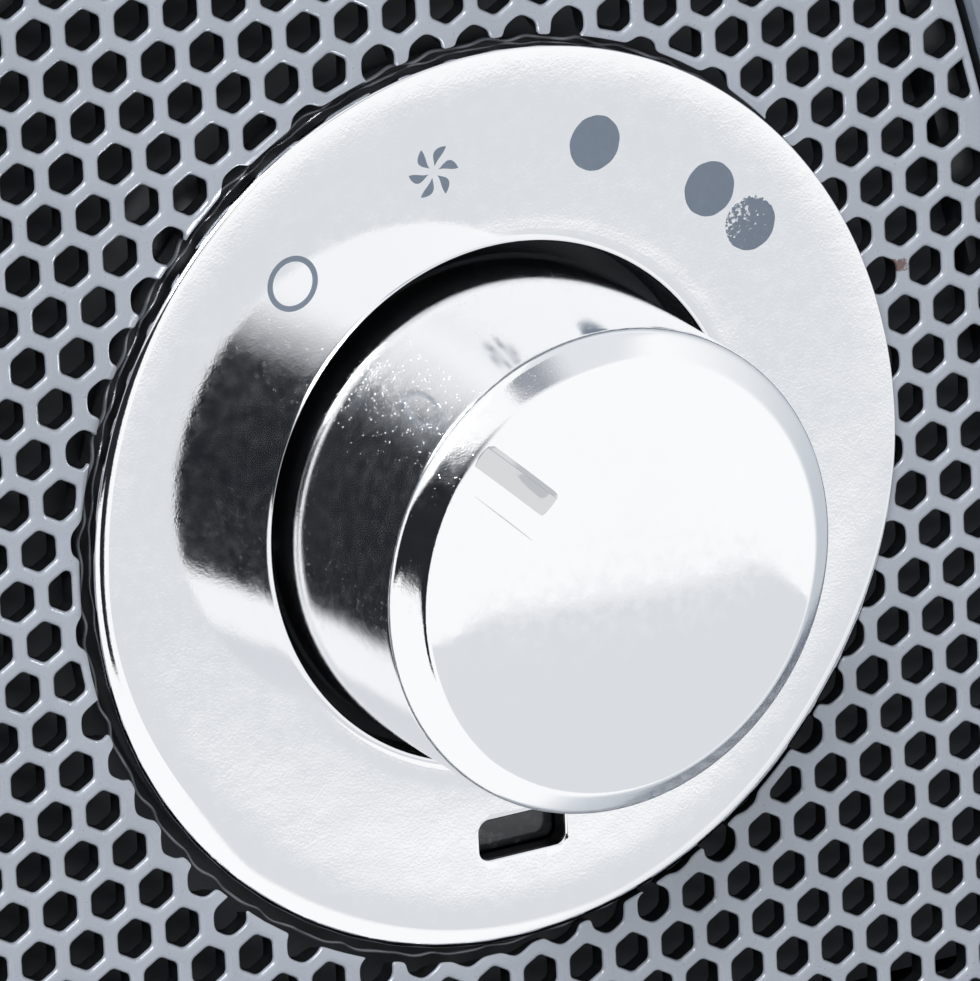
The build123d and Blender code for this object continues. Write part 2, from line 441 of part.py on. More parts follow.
# ---------------------------------------------------------------- base: tilt switch, terminals, inlet
ZB = Z_SOLE + WALL
tilt = box(PL_X - 11, PL_X + 11, PL_Y - 7, PL_Y + 7, ZB, ZB + 26)
tilt -= Pos(PL_X, PL_Y, ZB + 9) * Cylinder(4.3, 18.0)
tilt -= Pos(PL_X, PL_Y, ZB) * Cylinder(3.2, 6)
save("tilt_switch", tilt)
plunger = Pos(PL_X, PL_Y, (ZB + 9) / 2) * Cylinder(2.6, ZB + 9)
plunger = fillet(plunger.edges().group_by(Axis.Z)[0], 1.2)
plunger += Pos(PL_X, PL_Y, ZB + 7.75) * Cylinder(3.9, 2.5)
save("tilt_plunger", plunger)
spring = Pos(PL_X, PL_Y, ZB + 13.5) * (Cylinder(3.4, 8.9) - Cylinder(2.7, 12))
save("plunger_spring", spring)

tb = box(8, 38, 36, 48, ZB, ZB + 4) + box(8, 38, 37, 47, ZB + 4, ZB + 14)
for k in range(3):
    x = 13 + 10 * k
    tb -= Pos(x, 42, ZB + 10) * Cylinder(2.3, 12)
    tb -= box(x - 1.8, x + 1.8, 34, 50, ZB + 5, ZB + 8.5)
save("terminal_block", tb)
t_screws = []
for k in range(3):
    x = 13 + 10 * k
    s = Pos(x, 42, ZB + 11.5) * Cylinder(2.1, 4) - box(x - 1.6, x + 1.6, 41.6, 42.4, ZB + 12.6, ZB + 14)
    t_screws.append(s)
save("terminal_screws", t_screws)
gland = rod(GL_X, GL_Z, 6.9, Y_BACK - WALL, Y_BACK) + rod(GL_X, GL_Z, 8.8, Y_BACK, Y_BACK + 2.6) + rod(GL_X, GL_Z, 7.9, Y_BACK - 7.0, Y_BACK - WALL)
gland -= rod(GL_X, GL_Z, 3.6, Y_BACK - 9, Y_BACK + 4)
save("cord_gland", gland)

# ---------------------------------------------------------------- internal leads, clipped along their whole run
def lead(points, radii, r):
    path = FilletPolyline(*points, radius=radii)
    start = path @ 0
    tang = path % 0
    return sweep(Plane(start, z_dir=tang) * Circle(r), path=path)


leads = []
z_lead = ZB + 6.75
leads.append(lead([(KN_X - 3.09, -19.9, KN_Z - 9.51), (KN_X - 3.09, -6, KN_Z - 9.51), (-29, -8, 148), (-29, -8, zr + 3.9)], 5, 1.1))
leads.append(lead([(27.2, -8, zr + 2.2), (56.3, -8, zr + 2.2), (56.3, -8, 36.5), (43, -5, 32.5), (33, 12, z_lead), (33, 40, z_lead)], 5, 1.1))
leads.append(lead([(13, 40, z_lead), (13, 26, z_lead), (-28, 24, z_lead + 0.5), (-43, 12, 32.5), (-56.3, 6, 36.5), (-56.3, 6, 138), (KN_X - 30, -2, KN_Z), (KN_X - 10, -4, KN_Z), (KN_X - 10, -19.9, KN_Z)], 5, 1.1))
save("internal_leads", leads)
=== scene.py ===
import json
import math

import bpy
import bmesh
import numpy as np
from mathutils import Matrix, Vector
from mathutils.geometry import delaunay_2d_cdt

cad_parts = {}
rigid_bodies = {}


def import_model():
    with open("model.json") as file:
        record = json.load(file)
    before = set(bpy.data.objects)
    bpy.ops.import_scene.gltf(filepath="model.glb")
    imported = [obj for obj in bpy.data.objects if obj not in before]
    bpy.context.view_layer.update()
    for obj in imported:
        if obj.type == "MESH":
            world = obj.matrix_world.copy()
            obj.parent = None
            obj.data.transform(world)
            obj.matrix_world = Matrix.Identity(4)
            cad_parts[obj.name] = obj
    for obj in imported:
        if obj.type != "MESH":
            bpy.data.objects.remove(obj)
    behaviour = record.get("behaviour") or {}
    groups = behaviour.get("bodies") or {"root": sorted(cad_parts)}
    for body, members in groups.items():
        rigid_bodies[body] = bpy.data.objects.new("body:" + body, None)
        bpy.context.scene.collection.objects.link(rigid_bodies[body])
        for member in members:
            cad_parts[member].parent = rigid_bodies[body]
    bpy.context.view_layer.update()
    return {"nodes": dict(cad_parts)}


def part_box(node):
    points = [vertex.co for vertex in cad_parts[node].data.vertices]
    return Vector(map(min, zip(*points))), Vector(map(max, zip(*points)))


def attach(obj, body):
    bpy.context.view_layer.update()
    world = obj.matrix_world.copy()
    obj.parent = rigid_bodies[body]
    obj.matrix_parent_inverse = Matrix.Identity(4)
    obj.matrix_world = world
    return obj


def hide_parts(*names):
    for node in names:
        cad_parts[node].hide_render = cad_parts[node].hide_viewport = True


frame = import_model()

for o in list(bpy.data.objects):
    if o.name in ("Cube", "Light", "Camera"):
        bpy.data.objects.remove(o)

# All lengths below are millimetres in the frame of the CAD model; meshes are written in metres.
MM = 0.001
PITCH = 4.2
Y_MESH, MESH_T = -56.0, 1.8
Y_FRAME, Y_SPLIT = -57.5, -24.0
BEZ = (2.0, 172.0)
KN = (1.5, 171.3)
R_WELL, R_KNOB, R_BEZ = 20.6, 19.3, 36.2
POINTER = math.radians(90 + 45.5)          # direction of the groove in the x, z plane


# ---------------------------------------------------------------- materials
class Mat:
    """A node material around one Principled shader, with procedural inputs in object space."""

    def __init__(self, name, color=(0.5, 0.5, 0.5), rough=0.5, metal=0.0):
        self.m = bpy.data.materials.new(name)
        self.m.use_nodes = True
        self.t = self.m.node_tree
        self.t.nodes.clear()
        self.out = self.add("ShaderNodeOutputMaterial")
        self.b = self.add("ShaderNodeBsdfPrincipled")
        self.t.links.new(self.b.outputs[0], self.out.inputs[0])
        self.co = self.add("ShaderNodeTexCoord").outputs["Object"]
        self.set("Base Color", (*color, 1))
        self.set("Roughness", rough)
        self.set("Metallic", metal)

    def add(self, kind, **kw):
        n = self.t.nodes.new(kind)
        for k, v in kw.items():
            setattr(n, k, v)
        return n

    def set(self, name, value):
        self.b.inputs[name].default_value = value
        return self

    def link(self, socket, name):
        self.t.links.new(socket, self.b.inputs[name])
        return self

    def noise(self, scale, detail=2.0, rough=0.5, vec=None):
        n = self.add("ShaderNodeTexNoise")
        n.inputs["Scale"].default_value = scale
        n.inputs["Detail"].default_value = detail
        n.inputs["Roughness"].default_value = rough
        self.t.links.new(vec or self.co, n.inputs["Vector"])
        return n.outputs["Fac"]

    def voronoi(self, scale, feature="F1", vec=None):
        n = self.add("ShaderNodeTexVoronoi", feature=feature)
        n.inputs["Scale"].default_value = scale
        self.t.links.new(vec or self.co, n.inputs["Vector"])
        return n.outputs["Distance"]

    def stretch(self, sx, sy, sz):
        n = self.add("ShaderNodeMapping")
        n.inputs["Scale"].default_value = (sx, sy, sz)
        self.t.links.new(self.co, n.inputs["Vector"])
        return n.outputs[0]

    def ramp(self, src, stops):
        n = self.add("ShaderNodeValToRGB")
        e = n.color_ramp.elements
        while len(e) < len(stops):
            e.new(0.5)
        for k, (pos, col) in enumerate(stops):
            e[k].position = pos
            e[k].color = (*col, 1) if len(col) == 3 else col
        self.t.links.new(src, n.inputs[0])
        return n.outputs[0]

    def span(self, src, a, b, lo, hi, smooth=False):
        n = self.add("ShaderNodeMapRange")
        if smooth:
            n.interpolation_type = "SMOOTHSTEP"
        for k, v in zip(("From Min", "From Max", "To Min", "To Max"), (a, b, lo, hi)):
            n.inputs[k].default_value = v
        self.t.links.new(src, n.inputs["Value"])
        return n.outputs[0]

    def math(self, op, a, b=0.0):
        n = self.add("ShaderNodeMath", operation=op)
        for k, v in enumerate((a, b)):
            if isinstance(v, (int, float)):
                n.inputs[k].default_value = v
            else:
                self.t.links.new(v, n.inputs[k])
        return n.outputs[0]

    def blend(self, fac, a, b):
        n = self.add("ShaderNodeMix", data_type="RGBA")
        self.t.links.new(fac, n.inputs[0])
        for sock, v in ((6, a), (7, b)):
            if isinstance(v, tuple):
                n.inputs[sock].default_value = (*v, 1)
            else:
                self.t.links.new(v, n.inputs[sock])
        return n.outputs[2]

    def bump(self, height, distance, strength=1.0, normal=None):
        n = self.add("ShaderNodeBump")
        n.inputs["Strength"].default_value = strength
        n.inputs["Distance"].default_value = distance
        self.t.links.new(height, n.inputs["Height"])
        if normal is not None:
            self.t.links.new(normal, n.inputs["Normal"])
        return n.outputs[0]

    def xyz(self):
        n = self.add("ShaderNodeSeparateXYZ")
        self.t.links.new(self.co, n.inputs[0])
        return n.outputs


def shade(c, k):
    return tuple(min(max(v * k, 0), 1) for v in c)


def moulded(name, color, rough=0.5, grain=1400, depth=2e-5, vary=0.12, coat=0.0):
    """Moulded plastic: faint cloudy colour, fine eroded texture, scuffed gloss."""
    m = Mat(name, color, rough)
    n = m.noise(45, 4, 0.6)
    m.link(m.ramp(n, [(0.3, shade(color, 1 - vary)), (0.7, shade(color, 1 + vary))]), "Base Color")
    m.link(m.span(m.noise(160, 3, 0.6), 0.3, 0.7, rough - 0.06, rough + 0.07), "Roughness")
    m.link(m.bump(m.noise(grain, 3, 0.6), depth), "Normal")
    if coat:
        m.set("Coat Weight", coat).set("Coat Roughness", 0.12)
    return m.m


def metal(name, color, rough=0.3, direction=None, depth=6e-6):
    """Bare or plated metal with drawing lines along one direction, or a rolled grain."""
    m = Mat(name, color, rough, 1.0)
    vec = m.stretch(*direction) if direction else None
    n = m.noise(1500 if direction is None else 1, 4, 0.65, vec)
    m.link(m.ramp(m.noise(60, 4, 0.6), [(0.25, shade(color, 0.86)), (0.75, shade(color, 1.06))]), "Base Color")
    m.link(m.span(n, 0.3, 0.7, rough - 0.08, rough + 0.1), "Roughness")
    m.link(m.bump(n, depth), "Normal")
    return m.m


def chrome_material(name, grain=4.0e-6, rough=0.05, scale=3600, specks=0.0, tint=1.0):
    """Vacuum-plated plastic: mirror with a fine orange peel, dust pits and hazy patches."""
    m = Mat(name, (0.93, 0.935, 0.945), rough, 1.0)
    haze = m.noise(70, 3, 0.6)
    m.link(m.ramp(haze, [(0.3, shade((0.925, 0.932, 0.945), tint)), (0.7, shade((0.945, 0.95, 0.96), tint))]), "Base Color")
    fine = m.noise(scale, 2.5, 0.6)
    m.link(m.span(m.noise(900, 3, 0.6), 0.35, 0.7, rough - 0.02, rough + 0.05), "Roughness")
    normal = m.bump(m.noise(260, 2, 0.5), grain * 3.2)
    if specks:
        pits = m.math("MULTIPLY", m.span(m.voronoi(4200), 0.0, 0.28, 1.0, 0.0, True), m.span(m.noise(2100, 2, 0.6), 0.53, 0.6, 0.0, 1.0))
        normal = m.bump(pits, specks, 1.0, normal)
    m.link(m.bump(fine, grain, 1.0, normal), "Normal")
    return m.m


def grille_material():
    """Silver-grey stoving paint over pressed sheet: fine flake, slight runs; painted shade where the sheet is drawn in,
    dark, matt and less glossy with depth.
    """
    c = (0.335, 0.365, 0.415)
    m = Mat("grille_paint", c, 0.34, 0.2)
    n = m.noise(120, 4, 0.6)
    col = m.ramp(n, [(0.3, shade(c, 0.93)), (0.7, shade(c, 1.07))])
    fl = m.span(m.voronoi(9000), 0.0, 0.9, 0.0, 1.0)
    col = m.blend(m.math("MULTIPLY", fl, 0.18), col, shade(c, 1.5))
    x, y, z = m.xyz()
    dx, dz = m.math("SUBTRACT", x, 0.0383), m.math("SUBTRACT", z, 0.18415)
    d2 = m.math("ADD", m.math("MULTIPLY", dx, dx), m.math("MULTIPLY", m.math("MULTIPLY", dz, dz), 3.2))
    spot = m.math("ADD", m.math("SQRT", d2), m.span(m.noise(1500, 3, 0.7), 0.2, 0.8, -0.0008, 0.0008))
    rust = m.span(spot, 0.0009, 0.00125, 0.9, 0.0)
    col = m.blend(rust, col, (0.105, 0.045, 0.032))
    # painted shade: the paint darkens and loses its gloss with depth in the drawn-in flange, standing for the shade
    # there
    drawn_in_shade = m.span(m.math("ADD", y, m.span(m.noise(500, 2), 0.3, 0.7, -0.00008, 0.00008)), -0.05545, -0.05495, 0.0, 1.0, True)
    m.link(m.blend(drawn_in_shade, col, (0.016, 0.018, 0.022)), "Base Color")
    m.link(m.span(m.noise(1600, 3, 0.6), 0.3, 0.7, 0.27, 0.4), "Roughness")
    m.link(m.span(drawn_in_shade, 0.0, 1.0, 0.2, 0.0), "Metallic")
    m.link(m.span(drawn_in_shade, 0.0, 1.0, 0.5, 0.14), "Specular IOR Level")
    m.link(m.span(drawn_in_shade, 0.0, 1.0, 0.5, 0.04), "Coat Weight")
    m.link(m.bump(m.noise(2600, 3, 0.6), 6e-6), "Normal")
    m.set("Coat Roughness", 0.13)
    return m.m


def grille_edge():
    """Punched edge and back of the sheet: very dark."""
    m = Mat("grille_dark_edge", (0.004, 0.0045, 0.006), 0.6)
    m.link(m.ramp(m.noise(600, 3, 0.6), [(0.3, (0.003, 0.0035, 0.0045)), (0.75, (0.007, 0.0075, 0.009))]), "Base Color")
    m.link(m.span(m.noise(1200, 3), 0.3, 0.7, 0.5, 0.75), "Roughness")
    m.set("Specular IOR Level", 0.12)
    return m.m


WORN_AT = (BEZ[0] - 0.53 + 5.5 * PITCH, BEZ[1] + 0.27 + 4.372 * PITCH)
M = {}
M["chrome"] = chrome_material("chrome_plate")
M["grille"] = grille_material()
M["grille_inside"] = grille_edge()
M["chrome_bezel"] = chrome_material("chrome_bezel", 2.7e-6, 0.045, 4200)
M["chrome_face"] = chrome_material("chrome_knob_face", 0.35e-6, 0.045)
M["chrome_rim"] = chrome_material("chrome_knob_rim", 3.4e-6, 0.05, 6500, 4e-6)
M["chrome_skirt"] = chrome_material("chrome_knob_skirt", 4.2e-6, 0.06, 7500, 6e-6)
# painted shade: the dark colour of the lip ring round the opening stands for the shade in the gap there
M["inner_edge"] = moulded("inner_edge_painted_shade", (0.09, 0.098, 0.112), 0.3, 900, 4e-5, 0.3, coat=0.5)
M["face_line"] = moulded("face_line", (0.56, 0.57, 0.58), 0.4, 1500, 2e-6, 0.1)
# painted shade: the darker grey strip at the crease in the knob's groove
M["crease"] = moulded("crease_painted_shade", (0.30, 0.31, 0.33), 0.5, 1500, 1e-5, 0.4)
# painted shade: a darker copy of the knob's chrome for the floor and walls of the groove
M["chrome_groove_shaded"] = chrome_material("chrome_groove_shaded", 0.5e-6, 0.05, tint=0.72)
M["frame"] = moulded("frame_paint", (0.150, 0.178, 0.222), 0.36, 2600, 5e-6, 0.05, coat=0.35)
M["shell"] = moulded("shell_plastic", (0.085, 0.100, 0.124), 0.52, 1500, 2.4e-5, 0.08)
M["black"] = moulded("black_plastic", (0.014, 0.0155, 0.018), 0.42, 1800, 1.2e-5, 0.3)
M["heat"] = moulded("heat_plastic", (0.62, 0.59, 0.50), 0.6, 1200, 1.6e-5, 0.1)
M["fan"] = moulded("fan_plastic", (0.66, 0.68, 0.66), 0.45, 1000, 1.0e-5, 0.06)
M["brass"] = metal("brass", (0.72, 0.55, 0.25), 0.28)
M["bronze"] = metal("sintered_bronze", (0.48, 0.30, 0.15), 0.45, depth=1.4e-5)
M["steel"] = metal("plated_steel", (0.60, 0.61, 0.62), 0.3)
M["motor"] = metal("motor_can", (0.55, 0.56, 0.58), 0.32, (300, 3000, 300))
M["fins"] = metal("fin_aluminium", (0.76, 0.77, 0.78), 0.33, (400, 400, 4000))


def panel_material():
    """Dark plate behind the sheet, paler towards the right: painted light, where light falls on it through the holes.
    """
    m = Mat("panel_plastic", (0.03, 0.034, 0.041), 0.5)
    # painted light: the plate grows paler towards the right, as if lit through the holes there
    side = m.span(m.math("ADD", m.xyz()[0], m.span(m.noise(60, 3), 0.3, 0.7, -0.012, 0.012)), -0.03, 0.045, 0.0, 1.0)
    m.link(m.blend(side, (0.009, 0.011, 0.016), (0.050, 0.056, 0.068)), "Base Color")
    m.link(m.span(m.noise(160, 3, 0.6), 0.3, 0.7, 0.42, 0.6), "Roughness")
    m.link(m.bump(m.noise(1800, 3, 0.6), 1.2e-5), "Normal")
    return m.m


def ceramic():
    m = Mat("ceramic_bars", (0.40, 0.27, 0.19), 0.7)
    n = m.noise(220, 5, 0.65)
    m.link(m.ramp(n, [(0.3, (0.30, 0.19, 0.13)), (0.55, (0.43, 0.30, 0.21)), (0.8, (0.55, 0.43, 0.33))]), "Base Color")
    m.link(m.span(m.noise(900, 3), 0.3, 0.7, 0.55, 0.85), "Roughness")
    m.link(m.bump(m.noise(1100, 4, 0.7), 3e-5), "Normal")
    return m.m


def rubber():
    m = Mat("rubber_feet", (0.02, 0.02, 0.021), 0.75)
    m.link(m.ramp(m.noise(260, 4, 0.6), [(0.35, (0.014, 0.014, 0.015)), (0.75, (0.045, 0.044, 0.043))]), "Base Color")
    m.link(m.span(m.noise(500, 3), 0.3, 0.7, 0.65, 0.9), "Roughness")
    m.link(m.bump(m.noise(1500, 4, 0.7), 3e-5), "Normal")
    return m.m


def filter_cloth():
    """Open woven dust mesh: two crossing sets of threads."""
    m = Mat("filter_mesh", (0.03, 0.031, 0.033), 0.8)
    x, y, z = m.xyz()
    tx = m.math("ABSOLUTE", m.math("SINE", m.math("MULTIPLY", x, 2600.0)))
    tz = m.math("ABSOLUTE", m.math("SINE", m.math("MULTIPLY", z, 2600.0)))
    thread = m.math("MAXIMUM", tx, tz)
    m.link(m.ramp(thread, [(0.55, (0.004, 0.004, 0.005)), (0.85, (0.05, 0.052, 0.056))]), "Base Color")
    m.link(m.span(m.noise(400, 3), 0.3, 0.7, 0.7, 0.95), "Roughness")
    m.link(m.bump(thread, 1.2e-4), "Normal")
    return m.m


def lens_material():
    """Smoked lamp window: glossy, with dust and finger grease towards one side."""
    m = Mat("smoked_lens", (0.04, 0.045, 0.05), 0.18)
    grease = m.noise(700, 5, 0.65)
    side = m.span(m.xyz()[0], 0.0, 0.0040, 1.0, 0.25)
    k = m.math("MULTIPLY", m.span(grease, 0.50, 0.74, 0.0, 1.0), side)
    m.link(m.blend(k, (0.026, 0.030, 0.034), (0.22, 0.225, 0.23)), "Base Color")
    m.link(m.span(k, 0.0, 1.0, 0.14, 0.5), "Roughness")
    m.link(m.bump(m.noise(900, 3), 1.5e-5), "Normal")
    m.set("Coat Weight", 0.3).set("Coat Roughness", 0.08)
    return m.m


def print_material():
    """Pad-printed grey ink with pinholes."""
    c = (0.145, 0.178, 0.228)
    m = Mat("symbol_print", c, 0.42)
    m.link(m.ramp(m.noise(1500, 4, 0.7), [(0.2, shade(c, 0.9)), (0.62, shade(c, 1.0)), (0.9, shade(c, 1.35))]), "Base Color")
    m.link(m.span(m.noise(800, 3), 0.3, 0.7, 0.36, 0.5), "Roughness")
    m.link(m.bump(m.noise(3600, 3), 3e-6), "Normal")
    return m.m


def worn_print():
    """The same ink, rubbed off in small flecks towards its upper left edge."""
    c = (0.145, 0.178, 0.228)
    m = Mat("symbol_print_worn", c, 0.42)
    x, y, z = m.xyz()
    along = m.math("ADD", m.math("MULTIPLY", m.math("SUBTRACT", x, WORN_AT[0] * MM), -0.8), m.math("MULTIPLY", m.math("SUBTRACT", z, WORN_AT[1] * MM), 0.6))
    bare = m.math("SUBTRACT", m.noise(2600, 4, 0.7), m.span(along, -0.0004, 0.0022, 0.64, 0.47))
    k = m.span(bare, 0.0, 0.03, 0.0, 1.0)
    ink = m.ramp(m.noise(1500, 4, 0.7), [(0.2, shade(c, 0.9)), (0.62, shade(c, 1.0)), (0.9, shade(c, 1.35))])
    m.link(m.blend(k, ink, (0.80, 0.81, 0.82)), "Base Color")
    m.link(m.span(k, 0.0, 1.0, 0.42, 0.22), "Roughness")
    m.link(m.span(k, 0.0, 1.0, 0.0, 0.75), "Metallic")
    m.link(m.bump(m.noise(3600, 3), 3e-6), "Normal")
    return m.m


def well_material():
    """Black wall of the well, with a few bright flecks of plating."""
    m = Mat("well_black", (0.010, 0.010, 0.012), 0.38)
    fleck = m.span(m.voronoi(2300), 0.0, 0.16, 1.0, 0.0)
    some = m.span(m.noise(420, 3, 0.7), 0.56, 0.66, 0.0, 1.0)
    k = m.math("MULTIPLY", fleck, some)
    m.link(m.blend(k, (0.007, 0.007, 0.009), (0.75, 0.78, 0.8)), "Base Color")
    m.link(m.span(m.noise(900, 3), 0.3, 0.7, 0.3, 0.5), "Roughness")
    m.link(m.bump(m.noise(1500, 3), 1.5e-5), "Normal")
    return m.m


def lamp_glass():
    m = Mat("lamp_glass", (0.9, 0.32, 0.12), 0.08)
    m.link(m.ramp(m.noise(300, 3), [(0.3, (0.85, 0.25, 0.08)), (0.7, (0.95, 0.45, 0.2))]), "Base Color")
    m.link(m.span(m.noise(600, 2), 0.3, 0.7, 0.05, 0.14), "Roughness")
    m.set("Transmission Weight", 0.6)
    return m.m


def lead_material():
    """Silicone leads: each run a little different in shade."""
    m = Mat("lead_pvc", (0.6, 0.6, 0.57), 0.45)
    m.link(m.ramp(m.noise(35, 2), [(0.4, (0.60, 0.59, 0.55)), (0.6, (0.36, 0.37, 0.38))]), "Base Color")
    m.link(m.span(m.noise(500, 3), 0.3, 0.7, 0.38, 0.55), "Roughness")
    m.link(m.bump(m.noise(900, 3), 1e-5), "Normal")
    return m.m


def spring_material():
    """Close-wound wire: helical grooves round the plunger's axis."""
    m = Mat("spring_wire", (0.5, 0.51, 0.52), 0.28, 1.0)
    x, y, z = m.xyz()
    turn = m.math("DIVIDE", m.math("ARCTAN2", x, m.math("SUBTRACT", y, 0.010)), 6.28318)
    rise = m.math("DIVIDE", z, 0.0011)
    coil = m.math("ABSOLUTE", m.math("SINE", m.math("MULTIPLY", m.math("ADD", turn, rise), 3.14159)))
    # painted shade: the ramp darkens the grooves between the turns
    m.link(m.ramp(coil, [(0.1, (0.03, 0.03, 0.03)), (0.45, (0.55, 0.56, 0.57))]), "Base Color")
    m.link(m.span(m.noise(900, 3), 0.3, 0.7, 0.22, 0.36), "Roughness")
    m.link(m.bump(coil, 4e-4), "Normal")
    return m.m


M["panel"] = panel_material()
M["ceramic"], M["rubber"], M["filter"] = ceramic(), rubber(), filter_cloth()
M["lens"], M["print"], M["print_worn"], M["well"] = lens_material(), print_material(), worn_print(), well_material()
M["lamp"], M["lead"], M["spring"] = lamp_glass(), lead_material(), spring_material()

DRESS = {
    "front_frame": "frame", "rear_shell": "shell", "rear_cover": "shell", "front_grille": "grille", "control_bezel": "chrome",
    "control_knob": "chrome", "control_panel": "panel", "indicator_lens": "lens", "indicator_lamp": "lamp",
    "switch_shaft": "brass", "rotary_switch": "black", "switch_terminals": "brass", "switch_screws": "steel",
    "bezel_screws": "steel", "housing_screws": "steel", "air_duct": "black", "element_frame": "heat", "ptc_bars": "ceramic",
    "heat_fins": "fins", "element_terminals": "brass", "thermal_cutout": "steel", "thermal_fuse": "heat",
    "fan_shroud": "black", "fan_impeller": "fan", "fan_motor": "motor", "motor_shaft": "steel", "motor_bushes": "bronze",
    "motor_bracket": "steel", "motor_screws": "steel", "intake_cover": "shell", "dust_filter": "filter",
    "tilt_switch": "black", "tilt_plunger": "heat", "plunger_spring": "spring", "terminal_block": "heat",
    "terminal_screws": "brass", "cord_gland": "black", "rubber_feet": "rubber", "internal_leads": "lead",
}
for node, obj in frame["nodes"].items():
    obj.data.materials.clear()
    obj.data.materials.append(M[DRESS.get(node, "steel")])


# ---------------------------------------------------------------- mesh helpers
def make(name, verts, faces, mats, body, index=None, normals=None):
    """verts in mm. normals: one per face corner, or None for smooth shading with sharp corners."""
    me = bpy.data.meshes.new(name)
    me.from_pydata((np.asarray(verts, float) * MM).tolist(), [], [list(map(int, f)) for f in faces])
    for m in mats:
        me.materials.append(M[m])
    if index is not None:
        me.polygons.foreach_set("material_index", np.asarray(index, np.int32))
    me.polygons.foreach_set("use_smooth", np.ones(len(me.polygons), bool))
    me.update()
    ob = bpy.data.objects.new(name, me)
    bpy.context.scene.collection.objects.link(ob)
    if normals is not None:
        me.normals_split_custom_set(normals)
    else:
        me.set_sharp_from_angle(angle=math.radians(32))
    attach(ob, body)
    return ob


def smooth_curve(points, step):
    """Catmull-Rom through (r, y) points; a point given twice is a sharp corner."""
    runs, run = [], [points[0]]
    for p in points[1:]:
        if p == run[-1]:
            runs.append(run)
            run = [p]
        else:
            run.append(p)
    runs.append(run)
    out = []
    for run in runs:
        pts = [np.array(p, float) for p in run]
        if len(pts) == 1:
            continue
        pts = [2 * pts[0] - pts[1]] + pts + [2 * pts[-1] - pts[-2]]
        for k in range(1, len(pts) - 2):
            a, b, c, d = pts[k - 1:k + 3]
            t0, t1 = 0.0, np.linalg.norm(b - a) ** 0.5
            t2 = t1 + np.linalg.norm(c - b) ** 0.5
            t3 = t2 + np.linalg.norm(d - c) ** 0.5
            n = max(int(math.ceil(np.linalg.norm(c - b) / step)), 1)
            for j in range(n + (k == len(pts) - 3)):
                t = t1 + (t2 - t1) * j / n
                a1 = (t1 - t) / (t1 - t0) * a + (t - t0) / (t1 - t0) * b
                a2 = (t2 - t) / (t2 - t1) * b + (t - t1) / (t2 - t1) * c
                a3 = (t3 - t) / (t3 - t2) * c + (t - t2) / (t3 - t2) * d
                b1 = (t2 - t) / (t2 - t0) * a1 + (t - t0) / (t2 - t0) * a2
                b2 = (t3 - t) / (t3 - t1) * a2 + (t - t1) / (t3 - t1) * a3
                out.append(tuple((t2 - t) / (t2 - t1) * b1 + (t - t1) / (t2 - t1) * b2))
    clean = [out[0]]
    for p in out[1:]:
        if math.dist(p, clean[-1]) > 1e-5:
            clean.append(p)
    return clean


def lathe(profile, centre, seg):
    """A closed (r, y) profile turned about the y direction through centre. Returns verts, faces, ring of each face."""
    verts, faces, ring, start = [], [], [], []
    for r, y in profile:
        start.append(len(verts))
        if r < 1e-6:
            verts.append((centre[0], y, centre[1]))
        else:
            a = np.arange(seg) * 2 * math.pi / seg
            verts += list(zip(centre[0] + r * np.cos(a), [y] * seg, centre[1] + r * np.sin(a)))
    n = len(profile)
    for k in range(n):
        j = (k + 1) % n
        r0, r1 = profile[k][0], profile[j][0]
        if r0 < 1e-6 and r1 < 1e-6:
            continue
        for i in range(seg):
            i2 = (i + 1) % seg
            if r0 < 1e-6:
                faces.append((start[k], start[j] + i2, start[j] + i))
            elif r1 < 1e-6:
                faces.append((start[k] + i, start[k] + i2, start[j]))
            else:
                faces.append((start[k] + i, start[k] + i2, start[j] + i2, start[j] + i))
            ring.append(k)
    return verts, faces, ring


def fix_out(ob):
    """Makes the face normals of a closed mesh point out."""
    bm = bmesh.new()
    bm.from_mesh(ob.data)
    bmesh.ops.recalc_face_normals(bm, faces=bm.faces)
    if bm.calc_volume(signed=True) < 0:
        bmesh.ops.reverse_faces(bm, faces=bm.faces)
    bm.to_mesh(ob.data)
    bm.free()


def cut(ob, cutter, angle=32):
    """Takes cutter away from ob, with the result written to the mesh."""
    fix_out(ob)
    fix_out(cutter)
    mod = ob.modifiers.new("cut", "BOOLEAN")
    mod.operation, mod.solver, mod.object = "DIFFERENCE", "EXACT", cutter
    bpy.context.view_layer.update()
    dg = bpy.context.evaluated_depsgraph_get()
    me = bpy.data.meshes.new_from_object(ob.evaluated_get(dg))
    ob.modifiers.remove(mod)
    old = ob.data
    ob.data = me
    bpy.data.meshes.remove(old)
    bpy.data.objects.remove(cutter)
    ob.data.polygons.foreach_set("use_smooth", np.ones(len(ob.data.polygons), bool))
    ob.data.set_sharp_from_angle(angle=math.radians(angle))


def loose(name, verts, faces, mats):
    """A mesh object that is only used as a cutter."""
    me = bpy.data.meshes.new(name)
    me.from_pydata((np.asarray(verts, float) * MM).tolist(), [], [list(map(int, f)) for f in faces])
    for m in mats:
        me.materials.append(M[m])
    ob = bpy.data.objects.new(name, me)
    bpy.context.scene.collection.objects.link(ob)
    return ob


